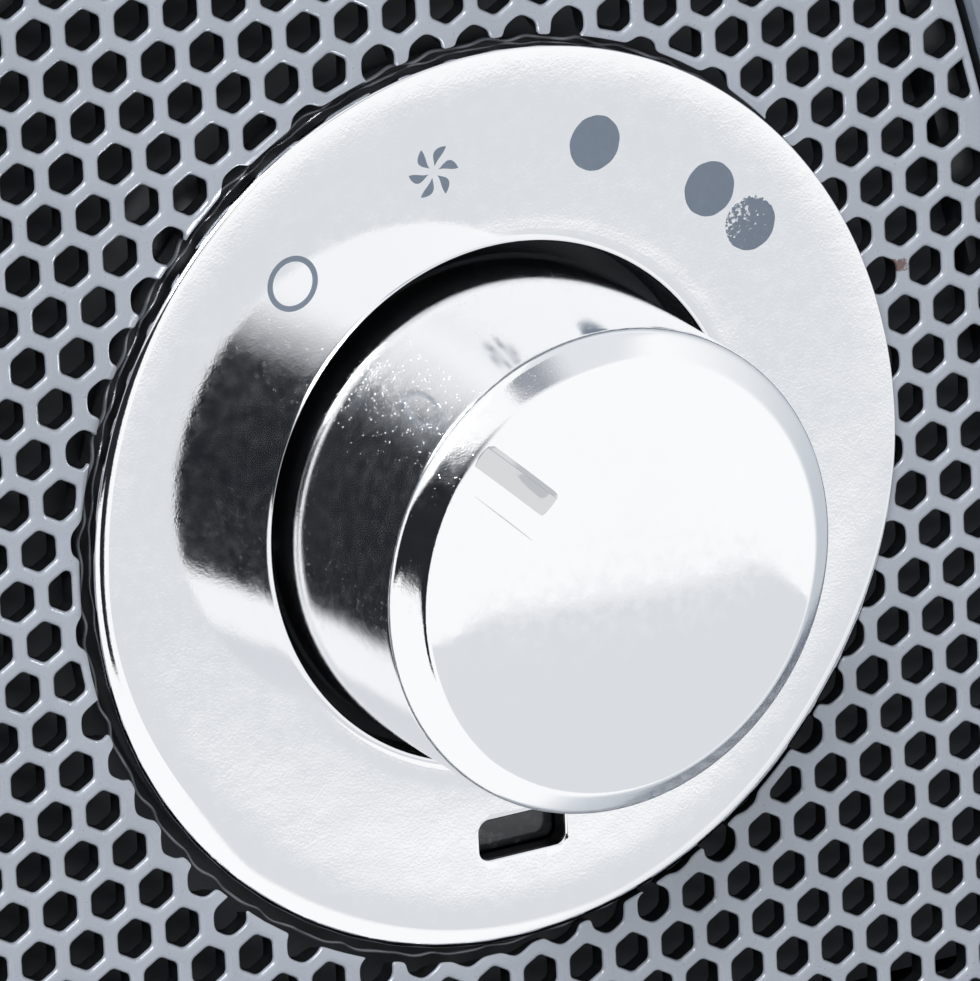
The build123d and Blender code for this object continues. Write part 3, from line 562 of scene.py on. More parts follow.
def outline(half, rad, z0, z1, sag, r_low, r_top, n=(26, 12, 96, 18, 44)):
    """Barrel outline in x, z, counter-clockwise from the bottom centre, always with the same number of points."""
    zc, cx = z1 - sag, half - rad
    side = lambda z, r: cx + math.sqrt((rad - r) ** 2 - (z - 100) ** 2)
    w1 = side(zc, 0)
    rt = (w1 * w1 + sag * sag) / (2 * sag)
    zt = z1 - rt
    zl, xl = z0 + r_low, side(z0 + r_low, r_low)
    lo, hi = 100.0, zc
    for _ in range(60):
        mid = (lo + hi) / 2
        x = side(mid, r_top)
        if math.hypot(x, mid - zt) < rt - r_top:
            lo = mid
        else:
            hi = mid
    ztc = (lo + hi) / 2
    xt = side(ztc, r_top)
    al, at, be = math.atan2(zl - 100, xl - cx), math.atan2(ztc - 100, xt - cx), math.atan2(ztc - zt, xt)
    pts = []
    arc = lambda c, r, a, b, k: pts.extend((c[0] + r * math.cos(a + (b - a) * i / k), c[1] + r * math.sin(a + (b - a) * i / k)) for i in range(k))
    pts.extend((xl * i / n[0], z0) for i in range(n[0]))
    arc((xl, zl), r_low, -math.pi / 2, al, n[1])
    arc((cx, 100), rad, al, at, n[2])
    arc((xt, ztc), r_top, at, be, n[3])
    arc((0, zt), rt, be, math.pi / 2, n[4])
    pts.append((0.0, z1))
    return np.array(pts + [(-x, z) for x, z in pts[-2:0:-1]])


def housing_out(i):
    return outline(66.2 - i, 423.0 - i, 4 + i, 258 - i, 8.0, 16 - i, 26 - i)


def mesh_out(g):
    return outline(58.2 + g, 415.0 + g, 24 - g, 247 + g, 5.0, 14 + g, 16 + g)


def loft(loops):
    """Quads between successive closed loops [(outline, y)], and between the last and the first."""
    verts, faces = [], []
    n = len(loops[0][0])
    for pts, y in loops:
        verts += [(x, y, z) for x, z in pts]
    for k in range(len(loops)):
        a, b = k * n, ((k + 1) % len(loops)) * n
        for i in range(n):
            j = (i + 1) % n
            faces.append((a + i, a + j, b + j, b + i))
    return verts, faces


# ---------------------------------------------------------------- front frame
loops = [(housing_out(0), y) for y in (Y_SPLIT, -34, -44, Y_FRAME + 4)]
for k in range(1, 9):
    th = math.pi / 2 * k / 8
    loops.append((housing_out(4 - 4 * math.cos(th)), Y_FRAME + 4 - 4 * math.sin(th)))
loops += [(mesh_out(1.35), Y_FRAME), (mesh_out(0.92), Y_FRAME + 0.05), (mesh_out(0.6), Y_FRAME + 0.2), (mesh_out(0.47), Y_FRAME + 0.5),
          (mesh_out(0.45), Y_MESH - 0.25), (mesh_out(0.45), Y_MESH + MESH_T), (mesh_out(-3.6), Y_MESH + MESH_T), (mesh_out(-3.6), -51.7),
          (housing_out(3), -51.7), (housing_out(3), Y_SPLIT)]
v, f = loft(loops)
rows = len(loops[0][0])
# painted shade: the frame's inner wall below the sheet, its ledge and the inside behind take the black plastic, where
# they lie in shadow
front_frame = make("frame_surround", v, f, ["frame", "black"], "housing", [1 if 16 <= k // rows <= 20 else 0 for k in range(len(f))])
fix_out(front_frame)
front_frame.data.set_sharp_from_angle(angle=math.radians(32))
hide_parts("front_frame")

# ---------------------------------------------------------------- front grille
CAM_AT = np.array((-466.45, -883.53, 481.16))
CAM_R = np.array((0.8625, -0.5039, -0.0456))
CAM_U = np.array((0.1931, 0.2445, 0.9502))
CAM_F = np.array((0.4677, 0.8284, -0.3082))


def in_photo(x, z):
    d = np.array((x, Y_MESH, z)) - CAM_AT
    k = 12899.0 / (d @ CAM_F)
    return abs(d @ CAM_R * k) < 545 and abs(d @ CAM_U * k) < 545


HOLE = (1.5, 172.2)                        # centre of the opening in the sheet
RHO_0 = 38.0
FLANGE = smooth_curve([(38.0, 0.0), (37.7, 0.012), (37.4, 0.055), (37.12, 0.14), (36.88, 0.27), (36.66, 0.45), (36.45, 0.7), (36.3, 1.0), (36.2, 1.4)], 0.05)
FL = np.array(FLANGE)
FS = np.r_[0, np.cumsum(np.linalg.norm(np.diff(FL, axis=0), axis=1))]
FT = np.gradient(FL, FS, axis=0)
FT /= np.linalg.norm(FT, axis=1)[:, None]


def under_rim(th):
    """1 from the lower right round to the upper right, where the webs run up to the rim; 0 elsewhere."""
    a = (np.degrees(th) - 260) % 360
    u, w = np.clip(a / 20, 0, 1), np.clip((a - 132) / 34, 0, 1)
    return u * u * (3 - 2 * u) * (1 - w * w * (3 - 2 * w))


def opening(th):
    """Radius at which the sheet is cut off, in the direction th from the centre of the opening."""
    c, s = math.cos(th), math.sin(th)
    rim = 35.75 + 0.35 * s ** 2 + 0.7 * max(math.cos(th - math.radians(290)), 0) ** 2 - 0.1 * c + 0.4 * s
    return rim + 0.13 + (1 - float(under_rim(th))) * (0.3 + 0.75 * max(math.cos(th - math.radians(225)), 0) ** 3)


def warp(x, z, level, gx, gz, tilt):
    """Bends the flat sheet into its drawn-in flange. Returns points and normals.

    level: depth under the front surface; gx, gz: direction in the sheet away from the hole; tilt: 0 faces the front, 1 faces the hole."""
    dx, dz = x - HOLE[0], z - HOLE[1]
    rho = np.hypot(dx, dz)
    ux, uz = dx / rho, dz / rho
    s = np.clip(RHO_0 - rho, 0, None)
    rc = np.where(s > 0, np.interp(s, FS, FL[:, 0]), rho)
    dc = np.where(s > 0, np.interp(s, FS, FL[:, 1]), 0)
    tr = np.where(s > 0, np.interp(s, FS, FT[:, 0]), -1)
    td = np.where(s > 0, np.interp(s, FS, FT[:, 1]), 0)
    soft = 1 - 0.93 * under_rim(np.arctan2(uz, ux))         # hardly drawn in on the right
    rc, dc = rho + (rc - rho) * soft, dc * soft
    tr, td = -1 + (tr + 1) * soft, td * soft
    size = np.hypot(tr, td)
    tr, td = tr / size, td / size
    thin = np.clip((rho - 35.6) / 2.6, 0, 1)
    lv = np.where(level > 0.5, level * (0.45 + 0.55 * thin), level)
    nr, nd = td, -tr
    r, d = rc + nr * lv, dc + nd * lv
    p = np.stack([HOLE[0] + r * ux, Y_MESH + d, HOLE[1] + r * uz], 1)
    front = np.stack([-nr * ux, -nd, -nr * uz], 1)
    g_u, g_t = gx * ux + gz * uz, -gx * uz + gz * ux
    g3 = np.stack([-tr * g_u * ux - uz * g_t, -td * g_u, -tr * g_u * uz + ux * g_t], 1)
    th = tilt * math.pi / 2
    n = np.cos(th)[:, None] * front - np.sin(th)[:, None] * g3
    return p, n


def clip(poly, nx, nz, d):
    """The part of a convex polygon with nx x + nz z <= d."""
    out = []
    for i in range(len(poly)):
        a, b = poly[i], poly[(i + 1) % len(poly)]
        da, db = a[0] * nx + a[1] * nz - d, b[0] * nx + b[1] * nz - d
        if da <= 0:
            out.append(a)
        if (da < 0 < db) or (db < 0 < da):
            t = da / (da - db)
            out.append(a + (b - a) * t)
    return out


def tidy(poly, least):
    """Drops points closer than least to the one before."""
    out = []
    for p in poly:
        if not out or np.linalg.norm(p - out[-1]) > least:
            out.append(p)
    while len(out) > 2 and np.linalg.norm(out[0] - out[-1]) <= least:
        out.pop()
    return out


def round_poly(poly, r, k, step):
    """Points and outward directions of a convex polygon with rounded corners; step divides its straight sides."""
    pts, nrm = [], []
    n = len(poly)
    for i in range(n):
        p0, p1, p2 = poly[i - 1], poly[i], poly[(i + 1) % n]
        a, b = p0 - p1, p2 - p1
        la, lb = np.linalg.norm(a), np.linalg.norm(b)
        a, b = a / la, b / lb
        half = math.acos(max(-1, min(1, a @ b))) / 2
        t = min(r / math.tan(half), 0.46 * la, 0.46 * lb)
        rr = t * math.tan(half)
        c = p1 + (a + b) / np.linalg.norm(a + b) * rr / math.sin(half)
        s = p1 + a * t - c
        a0 = math.atan2(s[1], s[0])
        sweep = math.pi - 2 * half
        for j in range(k):
            th = a0 + sweep * j / (k - 1)
            pts.append(c + rr * np.array((math.cos(th), math.sin(th))))
            nrm.append((math.cos(th), math.sin(th)))
    if step:
        full, fn = [], []
        m = len(pts)
        for i in range(m):
            q, nq = pts[(i + 1) % m], nrm[(i + 1) % m]
            full.append(pts[i])
            fn.append(nrm[i])
            long = np.linalg.norm(q - pts[i])
            cuts = int(long / step)
            for j in range(1, cuts):
                full.append(pts[i] + (q - pts[i]) * j / cuts)
                w = (1 - j / cuts) * np.array(nrm[i]) + j / cuts * np.array(nq)
                fn.append(tuple(w / np.linalg.norm(w)))
        pts, nrm = full, fn
    return np.array(pts), np.array(nrm)


def soften(poly, sigma, step):
    """Evens out and rounds a closed counter-clockwise loop. Returns points and directions away from its inside."""
    p = np.array(poly)
    q = np.vstack([p, p[:1]])
    run = np.r_[0, np.cumsum(np.linalg.norm(np.diff(q, axis=0), axis=1))]
    n = int(run[-1] / 0.08)
    at_ = np.arange(n) * run[-1] / n
    even = np.stack([np.interp(at_, run, q[:, 0]), np.interp(at_, run, q[:, 1])], 1)
    w = int(4 * sigma / 0.08)
    k = np.exp(-0.5 * (np.arange(-w, w + 1) * 0.08 / sigma) ** 2)
    k /= k.sum()
    soft = sum(np.roll(even, j, axis=0) * kj for j, kj in zip(range(-w, w + 1), k))
    out = soft[::max(int(step / 0.08), 1)]
    d = np.roll(out, -1, axis=0) - np.roll(out, 1, axis=0)
    d /= np.linalg.norm(d, axis=1)[:, None]
    return out, np.stack([d[:, 1], -d[:, 0]], 1)


def build_grille():
    af, row = 2.95, PITCH * math.sqrt(3) / 2
    border, strip = mesh_out(0.0), mesh_out(-0.75)
    s_next = np.roll(strip, -1, axis=0)
    s_dir = (s_next - strip) / np.linalg.norm(s_next - strip, axis=1)[:, None]
    s_nrm = np.stack([s_dir[:, 1], -s_dir[:, 0]], 1)
    s_off = (s_nrm * strip).sum(1)
    hexa = [np.array((math.cos(math.radians(90 + 60 * k)), math.sin(math.radians(90 + 60 * k)))) * af / math.sqrt(3) for k in range(6)]
    holes, crossing = [], []
    for j in range(-12, 54):
        z = 209.09 - j * row
        for i in range(-14, 26):
            x = -32.34 + i * PITCH + (j % 2) * PITCH / 2
            over = (s_nrm @ np.array((x, z)) - s_off).max()
            if over > 1.6:
                continue
            dx, dz = x - HOLE[0], z - HOLE[1]
            rho = math.hypot(dx, dz)
            if rho < 33.5:
                continue
            poly = [np.array((x, z)) + h for h in hexa]
            if over > -2.2:
                near = np.where(s_nrm @ np.array((x, z)) - s_off > -2.2)[0]
                for e in near:
                    if len(poly) > 2:
                        poly = clip(poly, s_nrm[e, 0], s_nrm[e, 1], s_off[e])
            if rho < 39.5:
                th = math.atan2(dz, dx)
                edge_r, ux, uz = opening(th), dx / rho, dz / rho
                inside = [math.hypot(*(q - HOLE)) < opening(math.atan2(q[1] - HOLE[1], q[0] - HOLE[0])) - 0.12 for q in poly]
                if all(inside):
                    continue
                if any(inside) and len(poly) > 5:
                    crossing.append(poly)
                    continue
                poly = clip(poly, -ux, -uz, -(ux * HOLE[0] + uz * HOLE[1] + edge_r + 0.85))
            poly = tidy(poly, 0.12) if len(poly) > 2 else poly
            if len(poly) < 3:
                continue
            q = np.array(poly)
            q2 = np.roll(q, -1, axis=0)
            area = 0.5 * (q[:, 0] * q2[:, 1] - q2[:, 0] * q[:, 1]).sum()
            if area < 1.1 or 2 * area / np.linalg.norm(q2 - q, axis=1).sum() < 0.42:
                continue
            close = in_photo(x, z)
            bend = rho < 42.2
            holes.append((round_poly(poly, 0.62, 6 if close else (4 if bend else 2), 0.34 if bend else None), close or bend, np.array((x, z))))

    X, Z, L, GX, GZ, T = [], [], [], [], [], []

    def put(pts, level, nrm, tilt):
        """Adds a loop of points and returns their numbers."""
        first = len(X)
        X.extend(pts[:, 0]); Z.extend(pts[:, 1])
        L.extend([level] * len(pts)); T.extend([tilt] * len(pts))
        GX.extend(nrm[:, 0]); GZ.extend(nrm[:, 1])
        return np.arange(first, first + len(pts))

    faces, index, back_face = [], [], []

    def strips(rings, flip, kinds):
        for (a, b), kind in zip(zip(rings, rings[1:]), kinds):
            n = len(a)
            for i in range(n):
                j = (i + 1) % n
                faces.append((a[i], b[i], b[j], a[j]) if flip else (a[i], a[j], b[j], b[i]))
                index.append(kind)
                back_face.append(False)

    flat, flat_id, flat_vert, flat_back, edges = [], [], [], [], []

    def boundary(pts, verts, backs, ident):
        first = len(flat)
        n = len(pts)
        flat.extend(map(tuple, pts))
        flat_id.extend([ident] * n)
        flat_vert.extend(verts)
        flat_back.extend(backs)
        edges.extend((first + i, first + (i + 1) % n) for i in range(n))

    for k, ((pts, nrm), fine, c) in enumerate(holes):
        steps = ((0.42, 0.0, 0.0), (0.27, 0.025, 0.2), (0.14, 0.085, 0.42), (0.045, 0.18, 0.68), (0.0, 0.34, 1.0)) if fine else ((0.38, 0.0, 0.0), (0.11, 0.1, 0.5), (0.0, 0.34, 1.0))
        rings = [put(pts + nrm * g, lv, nrm, t) for g, lv, t in steps]
        rings.append(put(pts, MESH_T, nrm, 1.0))
        strips(rings, False, [0] * (len(steps) - 1) + [1])
        boundary(pts + nrm * steps[0][0], rings[0], rings[-1], k)

    # outline of the opening: its circle, with the holes that it cuts
    outer = []
    for poly in crossing:
        q, _ = round_poly(poly, 0.62, 5, None)
        m = len(q)
        out_side = [math.hypot(*(w - HOLE)) > opening(math.atan2(w[1] - HOLE[1], w[0] - HOLE[0])) for w in q]
        if not any(out_side):
            continue
        start = next(i for i in range(m) if out_side[i] and not out_side[i - 1])
        run = []
        for i in range(m):
            if not out_side[(start + i) % m]:
                break
            run.append(q[(start + i) % m])

        def meet(p, w):
            lo, hi = 0.0, 1.0
            for _ in range(40):
                mid = (lo + hi) / 2
                y = p + (w - p) * mid
                if math.hypot(*(y - HOLE)) > opening(math.atan2(y[1] - HOLE[1], y[0] - HOLE[0])):
                    lo = mid
                else:
                    hi = mid
            return p + (w - p) * lo
        run = [meet(run[0], q[start - 1])] + run + [meet(run[-1], q[(start + len(run)) % m])]
        ang = [math.atan2(w[1] - HOLE[1], w[0] - HOLE[0]) for w in (run[0], run[-1])]
        if (ang[1] - ang[0] + math.pi) % (2 * math.pi) - math.pi < 0:
            run, ang = run[::-1], ang[::-1]
        outer.append((ang[0] % (2 * math.pi), ang[1] % (2 * math.pi), run))
    outer.sort(key=lambda e: e[0])
    loop = []
    for k, (a0, a1, run) in enumerate(outer):
        loop += run
        b0 = outer[(k + 1) % len(outer)][0]
        gap = (b0 - a1) % (2 * math.pi)
        m = int(gap * 36.5 / 0.5)
        for i in range(1, m):
            th = a1 + gap * i / m
            loop.append(np.array((HOLE[0] + opening(th) * math.cos(th), HOLE[1] + opening(th) * math.sin(th))))
    loop = tidy(loop, 0.05)
    e_pts, e_nrm = soften(loop, 0.3, 0.24)
    gap = e_pts[None] - e_pts[:, None]
    ahead = (gap * e_nrm[:, None]).sum(2)
    ball = np.where(ahead > 1e-3, (gap ** 2).sum(2) / (2 * np.maximum(ahead, 1e-3)), 9.0).min(1)   # room for the bevel in narrow web ends
    room = np.minimum(1.0, 0.7 * ball / 0.2)[:, None]
    rings = [put(e_pts + e_nrm * g * room, lv, e_nrm, t) for g, lv, t in ((0.2, 0.0, 0.0), (0.12, 0.03, 0.3), (0.055, 0.085, 0.6), (0.012, 0.17, 0.85), (0.0, 0.27, 1.0), (0.0, MESH_T, 1.0))]
    strips(rings, False, [0, 0, 0, 0, 1])
    opening_loop = e_pts + e_nrm * 0.2 * room
    boundary(opening_loop, rings[0], rings[-1], -2)

    def normals_of(p):
        d = np.roll(p, -1, axis=0) - np.roll(p, 1, axis=0)
        d /= np.linalg.norm(d, axis=1)[:, None]
        return np.stack([d[:, 1], -d[:, 0]], 1)

    rings = []
    for g, lv, t in ((-0.24, 0, 0), (-0.08, 0.07, -0.5), (0, 0.24, -1), (0, MESH_T, -1)):
        p = mesh_out(g)
        rings.append(put(p, lv, normals_of(p), t))
    strips(rings, True, [0, 0, 1])
    boundary(mesh_out(-0.24), rings[0], rings[-1], -3)

    # extra points in the webs of the bent zone
    extra = []
    for q, rho in enumerate(np.arange(35.9, 40.2, 0.36)):
        n = int(2 * math.pi * rho / 0.42)
        for i in range(n):
            th = (i + 0.5 * (q % 2)) * 2 * math.pi / n
            extra.append((HOLE[0] + rho * math.cos(th), HOLE[1] + rho * math.sin(th)))
    extra = np.array(extra)

    def in_opening(pts, loop):
        nx = np.roll(loop, -1, axis=0)
        hit = np.zeros(len(pts), bool)
        for i in range(0, len(pts), 400):
            p = pts[i:i + 400]
            up = (loop[None, :, 1] > p[:, None, 1]) != (nx[None, :, 1] > p[:, None, 1])
            dz = np.where(np.abs(nx[:, 1] - loop[:, 1]) < 1e-12, 1e-12, nx[:, 1] - loop[:, 1])
            xc = loop[None, :, 0] + (p[:, None, 1] - loop[None, :, 1]) * ((nx[:, 0] - loop[:, 0]) / dz)[None]
            hit[i:i + 400] = ((up & (p[:, None, 0] < xc)).sum(1) % 2) == 1
        return hit

    far = np.array([np.min(np.hypot(*(opening_loop - p).T)) > 0.16 for p in extra])
    extra = extra[far & ~in_opening(extra, opening_loop)]
    keep = np.ones(len(extra), bool)
    for (pts, nrm), fine, c0 in holes:
        if np.hypot(*(c0 - HOLE)) > 44:
            continue
        loop = pts + nrm * 0.5
        near = np.where((np.abs(extra - c0) < 2.8).all(1) & keep)[0]
        if not len(near):
            continue
        nx = np.roll(loop, -1, axis=0)
        e = nx - loop
        d = extra[near][:, None, :] - loop[None]
        inside = (e[None, :, 0] * d[:, :, 1] - e[None, :, 1] * d[:, :, 0] > 0).all(1)
        keep[near[inside]] = False
    extra = extra[keep]
    zero = np.zeros((len(extra), 2))
    ev = put(extra, 0.0, zero, 0.0)
    eb = put(extra, MESH_T, zero, 0.0)
    flat.extend(map(tuple, extra)); flat_id.extend([-1] * len(extra)); flat_vert.extend(ev); flat_back.extend(eb)

    res = delaunay_2d_cdt([Vector(p) for p in flat], edges, [], 0, 1e-6)
    plan = np.array(flat)
    origin = [o[0] if o else int(np.argmin(np.hypot(*(plan - np.array(p[:2])).T))) for o, p in zip(res[3], res[0])]   # outlines that touch share their nearest point
    ident = np.array(flat_id)
    missing = 0
    for tri in res[2]:
        t = [origin[q] for q in tri]
        if len(set(t)) < 3:
            missing += 1
            continue
        ids = ident[t]
        if ids[0] == ids[1] == ids[2] and ids[0] >= 0:
            continue
        if -2 in ids:
            mid = np.mean([flat[q] for q in t], axis=0)
            if in_opening(mid[None], opening_loop)[0]:
                continue
        p = [flat[q] for q in t]
        if (p[1][0] - p[0][0]) * (p[2][1] - p[0][1]) - (p[2][0] - p[0][0]) * (p[1][1] - p[0][1]) < 0:
            t = t[::-1]
        faces.append(tuple(flat_vert[q] for q in t)); index.append(0); back_face.append(False)
        faces.append(tuple(flat_back[q] for q in t[::-1])); index.append(1); back_face.append(True)
    P, N = warp(*(np.array(q, float) for q in (X, Z, L, GX, GZ, T)))
    _, NB = warp(*(np.array(q, float) for q in (X, Z, L, GX, GZ, np.zeros(len(X)))))
    normals = []
    for fc, bk in zip(faces, back_face):
        for q in fc:
            normals.append(tuple(-NB[q]) if bk else tuple(N[q]))
    # a wavy lip ring round the opening, in dark paint: painted shade in the gap, catching faint streaks of light
    lip_v, lip_f, turns, around = [], [], 900, 8
    for i in range(turns):
        th = 2 * math.pi * i / turns
        soft = 1 - float(under_rim(th))
        r0 = opening(th) - 0.30 * soft + 0.10 * soft * math.sin(54 * th) + 0.05 * soft * math.sin(83 * th + 1)
        d0 = 1.35 + 0.2 * math.sin(54 * th + 1.1)
        for j in range(around):
            a = 2 * math.pi * j / around
            r, d = r0 + 0.13 * math.cos(a), d0 + 0.2 * math.sin(a)
            lip_v.append((HOLE[0] + r * math.cos(th), Y_MESH + d, HOLE[1] + r * math.sin(th)))
            lip_f.append((i * around + j, i * around + (j + 1) % around, ((i + 1) % turns) * around + (j + 1) % around, ((i + 1) % turns) * around + j))
    print("grille: holes", len(holes), "faces", len(faces), "verts", len(X), "lost triangles", missing, "cdt verts", len(res[0]), "of", len(flat))
    ob = make("hexagon_grille", P, faces, ["grille", "grille_inside"], "housing", index, normals)
    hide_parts("front_grille")
    edge = make("grille_inner_edge", lip_v, lip_f, ["inner_edge"], "housing")
    fix_out(edge)
    return ob


build_grille()

# ---------------------------------------------------------------- bezel
TILT = math.tan(math.radians(0.75))
R_FLAT = 34.0
DISH_R, DISH_A = (22.6, 24.0, 28.0, 31.0, 33.0, 34.0), (0.80, 1.15, 1.5, 1.6, 0.8, 0.0)
RIM_K = (0.10, 0.12, 0.20, 0.30, 0.50, 1.10, 1.00, 0.80, 0.10)      # rounding of the rim every 45 degrees, from the right over the top


def bezel_front(r):
    """Offset of the dished front face from Y_MESH at a nominal radius."""
    rr = np.linspace(22.6, max(min(r, R_FLAT), 22.601), 60)
    s = np.tan(np.radians(np.interp(rr, DISH_R, DISH_A)))
    return -0.62 - float(np.sum((s[1:] + s[:-1]) / 2 * np.diff(rr)))


def rim_width(th):
    a = math.degrees(th) % 360
    k = int(a // 45)
    t = (a - 45 * k) / 45
    t = t * t * (3 - 2 * t)
    return 1.9 * (RIM_K[k] * (1 - t) + RIM_K[k + 1] * t)


def rim_radius(th):
    return 35.75 + 0.35 * math.sin(th) ** 2 + 0.7 * max(math.cos(th - math.radians(290)), 0) ** 2


def rim_shift(r):
    t = min(max((r - 22.6) / 7.4, 0), 1)
    t = t * t * (3 - 2 * t)
    return -0.6 * t, 0.15 + 0.45 * t


def flat_scale(th):
    return (rim_radius(th) - rim_width(th) - 22.6) / (R_FLAT - 22.6)


def on_plan(r, th):
    """x, z of the point of the front face with a nominal radius in the direction th."""
    sx, sz = rim_shift(r)
    q = 22.6 + (r - 22.6) * flat_scale(th) if r > 22.6 else r
    return BEZ[0] + sx + q * math.cos(th), BEZ[1] + sz + q * math.sin(th)


def nominal(x, z):
    """Nominal radius of the front face at x, z."""
    r = math.hypot(x - BEZ[0], z - BEZ[1])
    for _ in range(8):
        sx, sz = rim_shift(r)
        dx, dz = x - BEZ[0] - sx, z - BEZ[1] - sz
        q, th = math.hypot(dx, dz), math.atan2(dz, dx)
        r = 22.6 + (q - 22.6) / flat_scale(th) if q > 22.6 else q
    return r


RIM_U = [0.0, 0.015, 0.04, 0.12, 0.22, 0.32, 0.42, 0.52, 0.6, 0.68, 0.75, 0.81, 0.86, 0.9, 0.94, 0.97, 0.99, 1.0]
RIM_A = np.tan(np.radians(np.interp(np.linspace(0, 1, 400), (0, 0.6, 0.9, 1.0), (18, 28, 50, 82))))
RIM_D = np.interp(RIM_U, np.linspace(0, 1, 400), np.r_[0, np.cumsum((RIM_A[1:] + RIM_A[:-1]) / 2)] / 399)
lip = smooth_curve([(20.8, 2.2), (20.8, 1.2), (20.8, 1.2), (20.8, 0.25), (20.82, -0.1), (20.88, -0.31), (21.0, -0.46), (21.16, -0.555),
                    (21.4, -0.6), (21.8, -0.613), (22.2, -0.617), (22.59, -0.62)], 0.1)
rows = [("lip", r, y) for r, y in lip]
rows += [("flat", r, bezel_front(r)) for r in np.r_[np.arange(22.6, 33.7, 0.5), 33.75, 33.9, 33.98, 34.0 - 0.002]]
rows += [("rim", u, d) for u, d in zip(RIM_U, RIM_D)]
rows += [("wall", -0.15, 2.0), ("wall", -0.3, 2.8), ("wall", -0.6, 4.2), ("wall", -1.7, 4.2), ("wall", -1.75, 2.4), ("wall", -2.3, 1.7),
         ("lip", 30.0, 0.95), ("lip", 22.6, 0.95), ("lip", 22.0, 1.6), ("lip", 22.0, 4.2), ("lip", 20.8, 4.2)]
SEG = 420
v, f = [], []
for kind, a, b in rows:
    for i in range(SEG):
        th = 2 * math.pi * i / SEG
        c, s_ = math.cos(th), math.sin(th)
        if kind == "lip":
            x, z, y = BEZ[0] + a * c, BEZ[1] + 0.15 + a * s_, b
        elif kind == "flat":
            (x, z), y = on_plan(a, th), b
        else:
            q = rim_radius(th) + (a if kind == "wall" else -rim_width(th) * (1 - a))
            x, z, y = BEZ[0] - 0.6 + q * c, BEZ[1] + 0.6 + q * s_, (b if kind == "wall" else bezel_front(R_FLAT) + rim_width(th) * b)
        v.append((x, Y_MESH + y - (TILT * (z - BEZ[1]) if y < 1.5 else 0), z))
kinds = []
for k in range(len(rows)):
    a, b = k * SEG, ((k + 1) % len(rows)) * SEG
    dark = k == len(rows) - 1 or (rows[k][0] == "lip" and rows[k][2] > 0.12 and k < len(lip) - 1)
    for i in range(SEG):
        f.append((a + i, a + (i + 1) % SEG, b + (i + 1) % SEG, b + i))
        kinds.append(1 if dark else 0)
bezel = make("chrome_bezel", v, f, ["chrome_bezel", "well"], "housing", kinds)
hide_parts("control_bezel")


def stadium(cx, cz, w, h, r, grow, k=8):
    """Rounded rectangle, counter-clockwise."""
    pts = []
    for sx, sz, a0 in ((1, -1, -90), (1, 1, 0), (-1, 1, 90), (-1, -1, 180)):
        for i in range(k + 1):
            a = math.radians(a0 + 90 * i / k)
            pts.append((cx + sx * (w / 2 - r) + (r + grow) * math.cos(a), cz + sz * (h / 2 - r) + (r + grow) * math.sin(a)))
    return pts


def stack(levels):
    """A closed mesh from loops of equal length [(points, y)], capped at both ends."""
    verts, faces = [], []
    n = len(levels[0][0])
    for pts, y in levels:
        verts += [(x, yy, z) for (x, z), yy in zip(pts, y if hasattr(y, "__len__") else [y] * n)]
    for k in range(len(levels) - 1):
        for i in range(n):
            j = (i + 1) % n
            faces.append((k * n + i, k * n + j, (k + 1) * n + j, (k + 1) * n + i))
    faces.append(tuple(range(n)))
    faces.append(tuple((len(levels) - 1) * n + i for i in range(n))[::-1])
    return verts, faces


WIN, WIN_W, WIN_H, WIN_R = (2.05, 144.95), 7.7, 3.2, 0.85
y0 = Y_MESH + bezel_front(nominal(*WIN)) - TILT * (WIN[1] - BEZ[1])
levels = [(stadium(*WIN, WIN_W, WIN_H, WIN_R, g), y0 + d) for g, d in
          ((0.24, -0.6), (0.24, -0.03), (0.16, 0.02), (0.08, 0.08), (0.03, 0.16), (0.0, 0.28), (0.0, 0.30), (0.0, 8.0))]
v, f = stack(levels)
cutter = loose("window_cutter", v, f, ["chrome_bezel", "well"])
side = len(levels[0][0])
for q in cutter.data.polygons:
    q.material_index = 1 if q.index >= 6 * side else 0
cut(bezel, cutter, 34)
# a tiny pit in the plating beside the window
px, pz = 5.9, 143.8
y1 = Y_MESH + bezel_front(nominal(px, pz)) - TILT * (pz - BEZ[1])
v, f = stack([([(px + r * math.cos(a), pz + r * math.sin(a)) for a in np.arange(14) * math.pi / 7], y1 + d) for r, d in ((0.2, -0.3), (0.2, 0.0), (0.12, 0.08), (0.03, 0.12))])
cutter = loose("pit_cutter", v, f, ["chrome_bezel", "well"])
for q in cutter.data.polygons:
    q.material_index = 1
cut(bezel, cutter, 34)

# ---------------------------------------------------------------- knob
Y_NOSE = -75.3


def dome(r):
    """Depth of the face below the nose."""
    knots = np.array([0, 6, 10, 13, 14.5, 16, 17, 17.2])
    slope = np.tan(np.radians([0, 0.75, 1.5, 3.4, 7.0, 10.5, 15.0, 16.0]))
    rr = np.linspace(0, r, 200)
    s = np.interp(rr, knots, slope)
    return float(np.sum((s[1:] + s[:-1]) / 2 * np.diff(rr)))


face = [(r, Y_NOSE + dome(r)) for r in (0, 1.5, 3, 5, 7, 9, 10.5, 11.6, 12.6, 13.4, 14.1, 14.8, 15.4, 16.0, 16.5, 17.0)]
h17 = face[-1][1]
face += [(17.16, h17 + 0.06), (17.34, h17 + 0.17), (17.9, h17 + 0.58), (18.5, h17 + 1.03), (18.93, h17 + 1.36), (19.1, h17 + 1.51),
         (19.22, h17 + 1.67), (19.28, h17 + 1.85), (19.3, h17 + 2.1), (19.3, h17 + 2.9)]
curve = smooth_curve(face, 0.24)
skirt = [(19.3, y) for y in np.linspace(h17 + 4.5, Y_MESH + 1.7, 9)] + [(19.24, Y_MESH + 1.98), (19.0, Y_MESH + 2.15), (18.4, Y_MESH + 2.2), (17.95, Y_MESH + 2.1)]
inner = [(17.8, Y_MESH + 1.8), (17.6, -72.2), (16.9, -72.9), (6.1, -73.0), (5.6, -72.5), (5.4, -59.6), (5.2, -59.3), (3.3, -59.3), (3.05, -59.6),
         (3.05, -70.5), (0.0, -70.5)]
